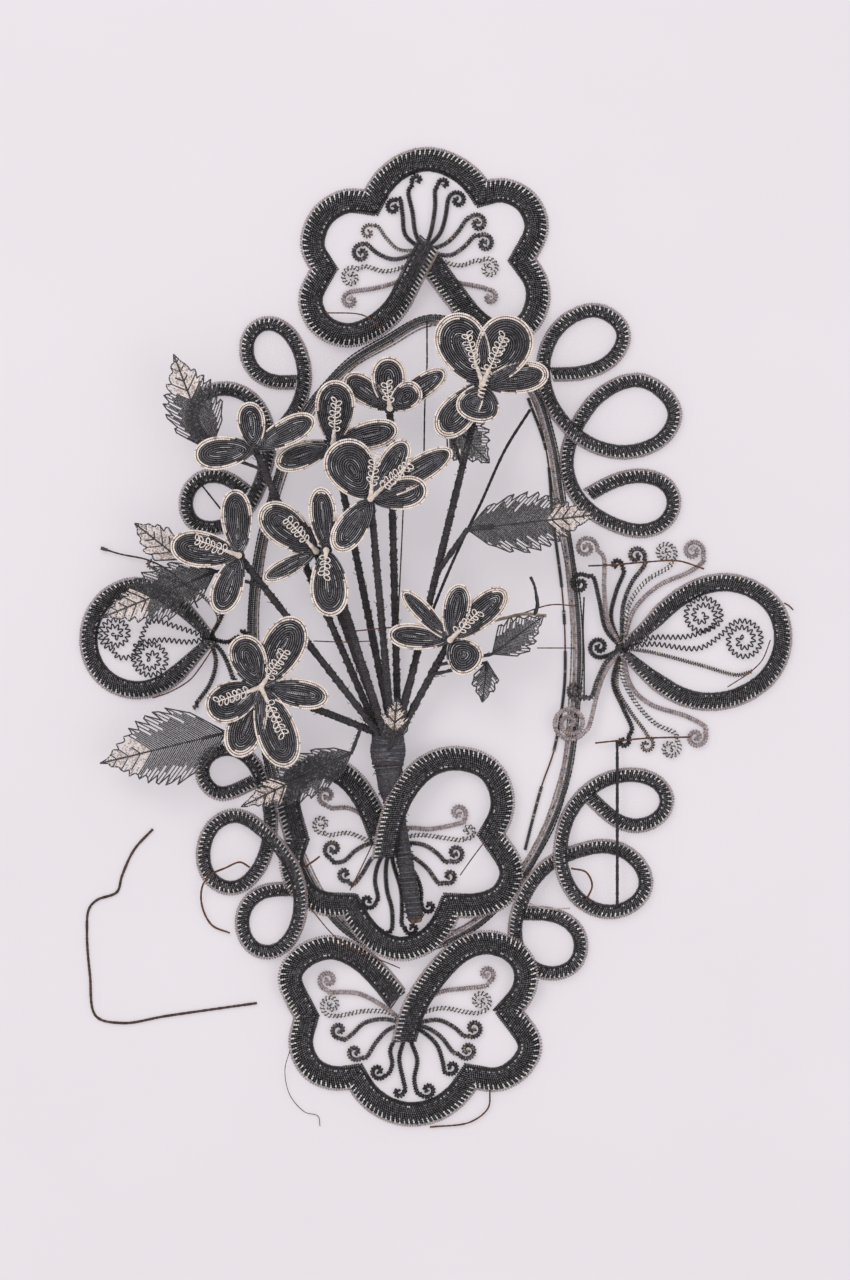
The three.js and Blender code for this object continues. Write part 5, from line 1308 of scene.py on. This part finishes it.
# The hematite and steel beads among the dark ones are partly the leaf's own lighter beads and partly painted
# highlights on the strands
LEAF_SHARES = {HEMATITE: 2, DARK: 5, BLACK: 6, STEEL: 1}
LEAF_PALE_SHARES = {CREAM: 7, TAN: 1, PINKISH: 3}
LEAF_EDGE_SHARES = {BLACK: 4, DARK: 5}
LEAF_DARK_STEP = 5
RIB_SHARES = {BLACK: 4, DARK: 4}
STALK_WOUND_SHARE = 1.3
STALK_WOUND_SHARES = {"upper_right": 2.0}
STALK_STRAND = 0.55 * MM
STALK_SIDES = 6
STALK_FIBRES = 12
STALK_REACH_SHARE = 0.2
SEAT_PITCH = 0.5 * MM


def stalk_seat(leaf):
    """Where a leaf's stalk lies on its stem, or on the binding."""
    if leaf.stem == "binding":
        return bundle + UP * (BINDING_BORE_RADIUS + BINDING_WALL + CLEARANCE + STALK_RADIUS)
    flower = next(flower for flower in FLOWERS_PIXELS if flower.name == leaf.stem)
    route = fine_line(stem_route(flower), SEAT_PITCH)
    index = min(int(leaf.stem_share * len(route)), len(route) - 2)
    slant = unit(route[index + 1] - route[index])
    rise = (STEM_TOP_SHARE * STEM_RADIUS + CLEARANCE + STALK_RADIUS) / math.hypot(slant[0], slant[1])
    return route[index] + UP * rise


def add_leaf_half(piece, leaf, side, length, half_width, place):
    """The bead strands of one half of a leaf, every second one reaching the lobed edge, and its rim."""
    edge = [(0, 0)]
    pitch = LEAF_STRAND_PITCH * LEAF_PITCH_SHARES.get(leaf.name, 1)
    for k, start in enumerate(np.arange(pitch, length * LEAF_STRANDS_SHARE, pitch)):
        reach = np.linspace(0, 1, LEAF_REACH_SAMPLES) * length
        belly = np.clip((start + reach) / length, 0, 1) ** LEAF_BELLY_POWER
        width_there = half_width * np.sin(np.pi * belly)
        hit = np.argmax(reach / LEAF_LEAN >= width_there)
        lobe = abs(math.sin(math.pi * start / LEAF_LOBE_PITCH + side))
        end_y = max(width_there[hit] * (LEAF_LOBE_TOP_SHARE - LEAF_LOBE_SHARE * (1 - lobe)), BEAD)
        is_whole = k % 2 == 0
        stop = end_y * (1 if is_whole else rng.uniform(*LEAF_SHORT_SHARES))
        y = np.linspace(0, stop, max(int(end_y / LEAF_BEAD_PITCH), 3))
        x = start + y * LEAF_LEAN + LEAF_STRAND_BOW * y ** 2 / half_width
        points = place(x, y * side)
        is_pale = start / length >= leaf.pale_share and k % LEAF_DARK_STEP
        slots = picked(len(points), LEAF_PALE_SHARES if is_pale else LEAF_SHARES)
        piece.add(points, np.gradient(points, axis=0), LEAF_STRAND_RADIUS, LEAF_HALF_BEAD, slots)
        if is_whole:
            edge.append((x[-1], end_y))
    rim_x, rim_y = np.array(edge + [(length, 0)]).T
    rim, ways = even_points(place(rim_x, rim_y * side), LEAF_RIM_PITCH)
    piece.add(rim, ways, LEAF_RIM_RADIUS, LEAF_HALF_BEAD, picked(len(rim), LEAF_EDGE_SHARES))


def leaf_piece(leaf):
    """A leaf of fine bead strands on both sides of a rib, with its wound stalk."""
    base, tip = (spot(pixel, height * MM) for pixel, height in zip((leaf.base, leaf.tip), leaf.heights))
    length = np.linalg.norm(tip - base)
    half_width = leaf.width * METRES_PER_PIXEL / 2
    along = unit(tip - base)
    across = unit(np.array([-along[1], along[0], 0]))
    up = np.cross(along, across)

    def place(x, y, extra=0.0):
        arch = LEAF_ARCH_SHARE * length * np.sin(np.pi * np.clip(x / length, 0, 1))
        lift = LEAF_THICKNESS / 2 + np.abs(y) * LEAF_FOLD_SHARE + arch + extra
        return base + np.outer(x, along) + np.outer(y, across) + np.outer(lift, up)

    piece = Beads()
    for side in (-1, 1):
        add_leaf_half(piece, leaf, side, length, half_width, place)
    rib_x = np.arange(LEAF_RIB_SHARES[0] * length, LEAF_RIB_SHARES[1] * length, BEAD)
    rib = place(rib_x, 0 * rib_x, LEAF_RIB_LIFT)
    piece.add(rib, np.gradient(rib, axis=0), BEAD / 2, BEAD / 2, picked(len(rib), RIB_SHARES))
    reach = place(np.array([STALK_REACH_SHARE * length]), np.zeros(1))[0]
    stalk = np.array([stalk_seat(leaf), base + UP * LEAF_THICKNESS / 2, reach])
    radius = STALK_RADIUS * STALK_WOUND_SHARES.get(leaf.name, STALK_WOUND_SHARE)
    add_wound_stick(piece, stalk, [radius] * 2, STALK_STRAND, STALK_SIDES, STALK_FIBRES)
    piece.build("beads_leaf_" + leaf.name, nodes=("leaf_" + leaf.name,))


# Thin loose wires and threads that are too fine for the CAD model: radius in millimetres, material, route
TRIM_PIXELS = {
    "top_arc_wire": (1.0, BLACK, [[387, 199, 0.3], [390, 190, 0.3], [397, 181, 0.3], [405, 175, 0.3],
        [416, 170, 0.3]]),
    "low_upright_wire": (0.7, IRON, [[405, 470, 2.6], [401, 560, 2.4], [397, 640, 2.2]]),
    "left_scroll_stick": (0.9, ROD, [[197, 479, 0.7], [216, 503, 0.8], [234, 526, 0.8]]),
    "left_wire_end": (1.9, DARK, [[101, 548, 0.2], [104, 549, 0.2], [107.5, 550, 0.2]]),
    "sprig_branch": (1.6, TAN, [[484, 623, 3.6], [505, 618, 3.4], [525, 614, 3.1], [546, 616, 3.0]]),
    "sprig_end": (2.0, BLACK, [[536, 596, 3.2], [537, 606, 3.1], [534, 615, 3.0]]),
    "sprig_tip": (1.5, BLACK, [[530, 577, 3.4], [534, 586, 3.3], [536, 596, 3.2]]),
    "lower_left_wire": (1.0, RUST, [[213, 872, 0.7], [203, 885, 0.7], [202, 905, 0.3], [212, 925, 0.2],
        [230, 933, 0.2]]),
    "lower_left_twist": (1.0, RUST, [[212, 873, 0.9], [225, 868, 0.6], [240, 862, 0.6], [250, 867, 1.0]]),
    "lower_ring_wire": (1.0, RUST, [[290, 862, 1.1], [300, 868, 1.0], [312, 862, 1.0], [320, 856, 1.1]]),
    "lower_right_wire": (1.0, RUST, [[571, 868, 1.1], [586, 872, 0.8], [592, 885, 0.6], [586, 900, 0.9]]),
    "lower_right_strand": (0.7, PINKISH, [[529, 903, 1.2], [545, 908, 1.1], [570, 908, 1.0]]),
    "bottom_wire": (0.9, RUST, [[490, 1090, 0.5], [488, 1108, 0.2], [470, 1122, 0.15], [430, 1127, 0.1]]),
    "teardrop_outer_wire": (0.8, RUST, [[793, 610, 0.4], [789, 606, 0.4], [784, 603, 0.5]]),
    "hair_wire": (0.4, RUST, [[290, 1050, 1], [285, 1070, 0.6], [290, 1095, 0.2], [305, 1112, 0.1],
        [318, 1116, 0.1], [320, 1126, 0.1]]),
    "top_brown_wire": (0.7, RUST, [[325, 313, 0.9], [364, 316, 1.2], [384, 332, 1.9]]),
    "upright_wire": (0.8, ROD, [[427, 320, 0.7], [427, 346, 0.8], [427, 365, 1.0], [425, 400, 1.2],
        [424, 455, 1.4]]),
    "diagonal_wire": (1.5, ROD, [[530, 410, 1.2], [505, 450, 2], [480, 505, 3.2], [466, 533, 3.8],
        [440, 592, 3.6], [412, 668, 2.9], [396, 722, 2.4]]),
    "bouquet_wire": (0.6, RUST, [[314, 641, 3.4], [345, 642, 3.4], [372, 641, 3.4]]),
    "sprig_wire": (0.7, RUST, [[345, 632, 3.6], [420, 625, 3.9], [500, 620, 3.4], [550, 605, 3],
        [575, 606, 2.6]]),
    "cross_rusty_wire": (0.6, RUST, [[537, 648, 1.1], [556, 648, 1.0], [575, 648, 0.9]]),
    "left_ornament_wire": (0.7, RUST, [[212, 650, 1], [200, 668, 1.1], [190, 680, 1.1], [170, 692, 1.1],
        [153, 698, 1.1]]),
    "left_beaded_wire": (0.9, IRON, [[104, 549, 0.2], [120, 554, 0.3], [148, 560, 0.4], [168, 570, 0.6],
        [188, 588, 0.8], [198, 608, 0.8]]),
    "pansy_wire_left": (0.6, RUST, [[372, 845, 1.1], [361, 868, 1.1], [350, 890, 1.1]]),
    "pansy_wire_right": (0.6, RUST, [[484, 842, 1.1], [472, 858, 1.1], [460, 875, 1.1]]),
    "handle_wire": (0.6, RUST, [[310, 907, 1.9], [340, 940, 1.4], [400, 968, 0.6]]),
    "right_strand": (0.9, BLACK, [[584, 597, 0.5], [583, 625, 0.5], [584, 660, 0.5], [584, 701, 0.5]]),
    "teardrop_wire": (0.6, RUST, [[770, 640, 1.05], [762, 660, 0.5], [750, 672, 0.5], [727, 687, 1.05]]),
}

CREAM_COIL_PIXELS = [[486, 371], [483, 385], [480, 400]]
CREAM_COIL_END_DROP = 6 * MM
CREAM_COIL_PITCH = 0.34 * MM
CREAM_COIL_SAMPLES = 12
CREAM_COIL_RADII = (4.8 * MM, 2.2 * MM)
CREAM_COIL_FLATNESS = 0.6
CREAM_STRAND = 0.75 * MM


def cream_coil_piece():
    """The cream thread wound over the knot of the flower at the upper right."""
    places = spots(CREAM_COIL_PIXELS, knot_of(FLOWERS_PIXELS[0])[2] + KNOT_RADIUS + STAMEN_BASE_RADIUS)
    places[-1, 2] -= CREAM_COIL_END_DROP
    points, ways = even_points(smooth_route(places), CREAM_COIL_PITCH)
    out = np.linspace(*CREAM_COIL_RADII, len(points))
    piece = Beads()
    coil = wound_round(points, ways, CREAM_COIL_SAMPLES, out, CREAM_COIL_FLATNESS)
    piece.add_tube(coil, CREAM_STRAND, CREAM, THREAD_SIDES)
    piece.build("trim_cream_coil")


# The pieces

for name, settings in BANDS_PIXELS.items():
    band_piece(name, *settings)
for name, settings in FILIGREES_PIXELS.items():
    filigree_piece(name, *settings)
ring_piece()
inner_wire_piece()
wire_piece("wire_cross_wire_upper", UPPER_CROSS_WIRE_PIXELS, CROSS_WIRE_RADIUS, RUST, ("cross_wire_upper",))
cross_wire_lower_piece()
wire_piece("wire_loose_wire", LOOSE_WIRE_PIXELS, LOOSE_WIRE_RADIUS, IRON, ("loose_wire",), body="loose_wire")
handle_piece()
binding_piece()
for flower in FLOWERS_PIXELS:
    flower_piece(flower)
    stem_piece(flower)
    if flower.stamens:
        stamens_piece(flower)
for leaf in LEAVES_PIXELS:
    leaf_piece(leaf)
for name, (radius, slot_number, pixels) in TRIM_PIXELS.items():
    wire_piece("trim_" + name, pixels, radius * MM, slot_number)
cream_coil_piece()


# Floor, light and camera

FLOOR_HALF_LENGTH = 40.0
FLOOR_GRAIN_SCALE = 3
FLOOR_ROUGHNESS = 0.9
FLOOR_SPECULAR = 0.1
FLOOR_SEEN_COLOUR = "a49fa4"
BACKDROP_COLOUR = "eae4e9"
GLOW_COLOUR = (0.98, 0.98, 0.985, 1)
GLOW_STRENGTH = 0.86

# Lamps: name, place in metres, size in metres and power in watts
LAMPS = (("key", (-1.4, 1.8, 2.6), 1.8, 34), ("fill", (1.8, -1.2, 2.6), 2.2, 15))
CAMERA_HEIGHT = 8.0
CAMERA_SENSOR_HEIGHT = 24
CAMERA_CLIP_END = 40


def floor_material():
    """Pale paper. Part of its tone is given to the camera's and mirrors' rays, so that shadows stay soft."""
    material = grained_material("floor_paper", "a9a5a8", "aca8ab", FLOOR_GRAIN_SCALE, FLOOR_ROUGHNESS,
                                bump=0.0, specular=FLOOR_SPECULAR)
    nodes = material.node_tree.nodes
    shader = nodes["Principled BSDF"]
    shader.inputs["Emission Color"].default_value = colour(FLOOR_SEEN_COLOUR)
    rays = nodes.new("ShaderNodeLightPath")
    seen = nodes.new("ShaderNodeMath")
    seen.operation = "MAXIMUM"
    link_all(material.node_tree.links, (
        (rays, "Is Camera Ray", seen, 0),
        (rays, "Is Glossy Ray", seen, 1),
        (seen, "Value", shader, "Emission Strength"),
    ))
    return material


def add_floor():
    half = FLOOR_HALF_LENGTH
    mesh = bpy.data.meshes.new("floor")
    corners = [(-half, -half, 0), (half, -half, 0), (half, half, 0), (-half, half, 0)]
    mesh.from_pydata(corners, [], [(0, 1, 2, 3)])
    mesh.materials.append(floor_material())
    add_object("floor", mesh)


def add_world():
    """An even glow on the object, and a pale backdrop where the camera looks past it."""
    world = bpy.data.worlds.new("studio")
    bpy.context.scene.world = world
    world.use_nodes = True
    nodes = world.node_tree.nodes
    glow = nodes["Background"]
    glow.inputs["Color"].default_value = GLOW_COLOUR
    glow.inputs["Strength"].default_value = GLOW_STRENGTH
    backdrop = nodes.new("ShaderNodeBackground")
    backdrop.inputs["Color"].default_value = colour(BACKDROP_COLOUR)
    rays = nodes.new("ShaderNodeLightPath")
    mix = nodes.new("ShaderNodeMixShader")
    link_all(world.node_tree.links, (
        (rays, "Is Camera Ray", mix, "Fac"),
        (glow, "Background", mix, 1),
        (backdrop, "Background", mix, 2),
        (mix, "Shader", nodes["World Output"], "Surface"),
    ))


def add_lamps():
    for name, place, size, power in LAMPS:
        light = bpy.data.lights.new(name, "AREA")
        light.size = size
        light.energy = power
        lamp = add_object(name, light)
        lamp.location = place
        lamp.rotation_euler = (-Vector(place)).to_track_quat("-Z", "Y").to_euler()


def add_camera():
    """A camera straight above, so far off that the photograph's frame is seen with little slant."""
    data = bpy.data.cameras.new("camera")
    data.sensor_fit = "VERTICAL"
    data.sensor_height = CAMERA_SENSOR_HEIGHT
    data.lens = CAMERA_SENSOR_HEIGHT * CAMERA_HEIGHT / (IMAGE_HEIGHT_PIXELS * METRES_PER_PIXEL)
    data.clip_end = CAMERA_CLIP_END
    camera = add_object("camera", data)
    aim = spot((IMAGE_WIDTH_PIXELS / 2, IMAGE_HEIGHT_PIXELS / 2))
    camera.location = (aim[0], aim[1], CAMERA_HEIGHT)
    bpy.context.scene.camera = camera
    bpy.context.scene.view_settings.view_transform = "Standard"


add_floor()
add_world()
add_lamps()
add_camera()
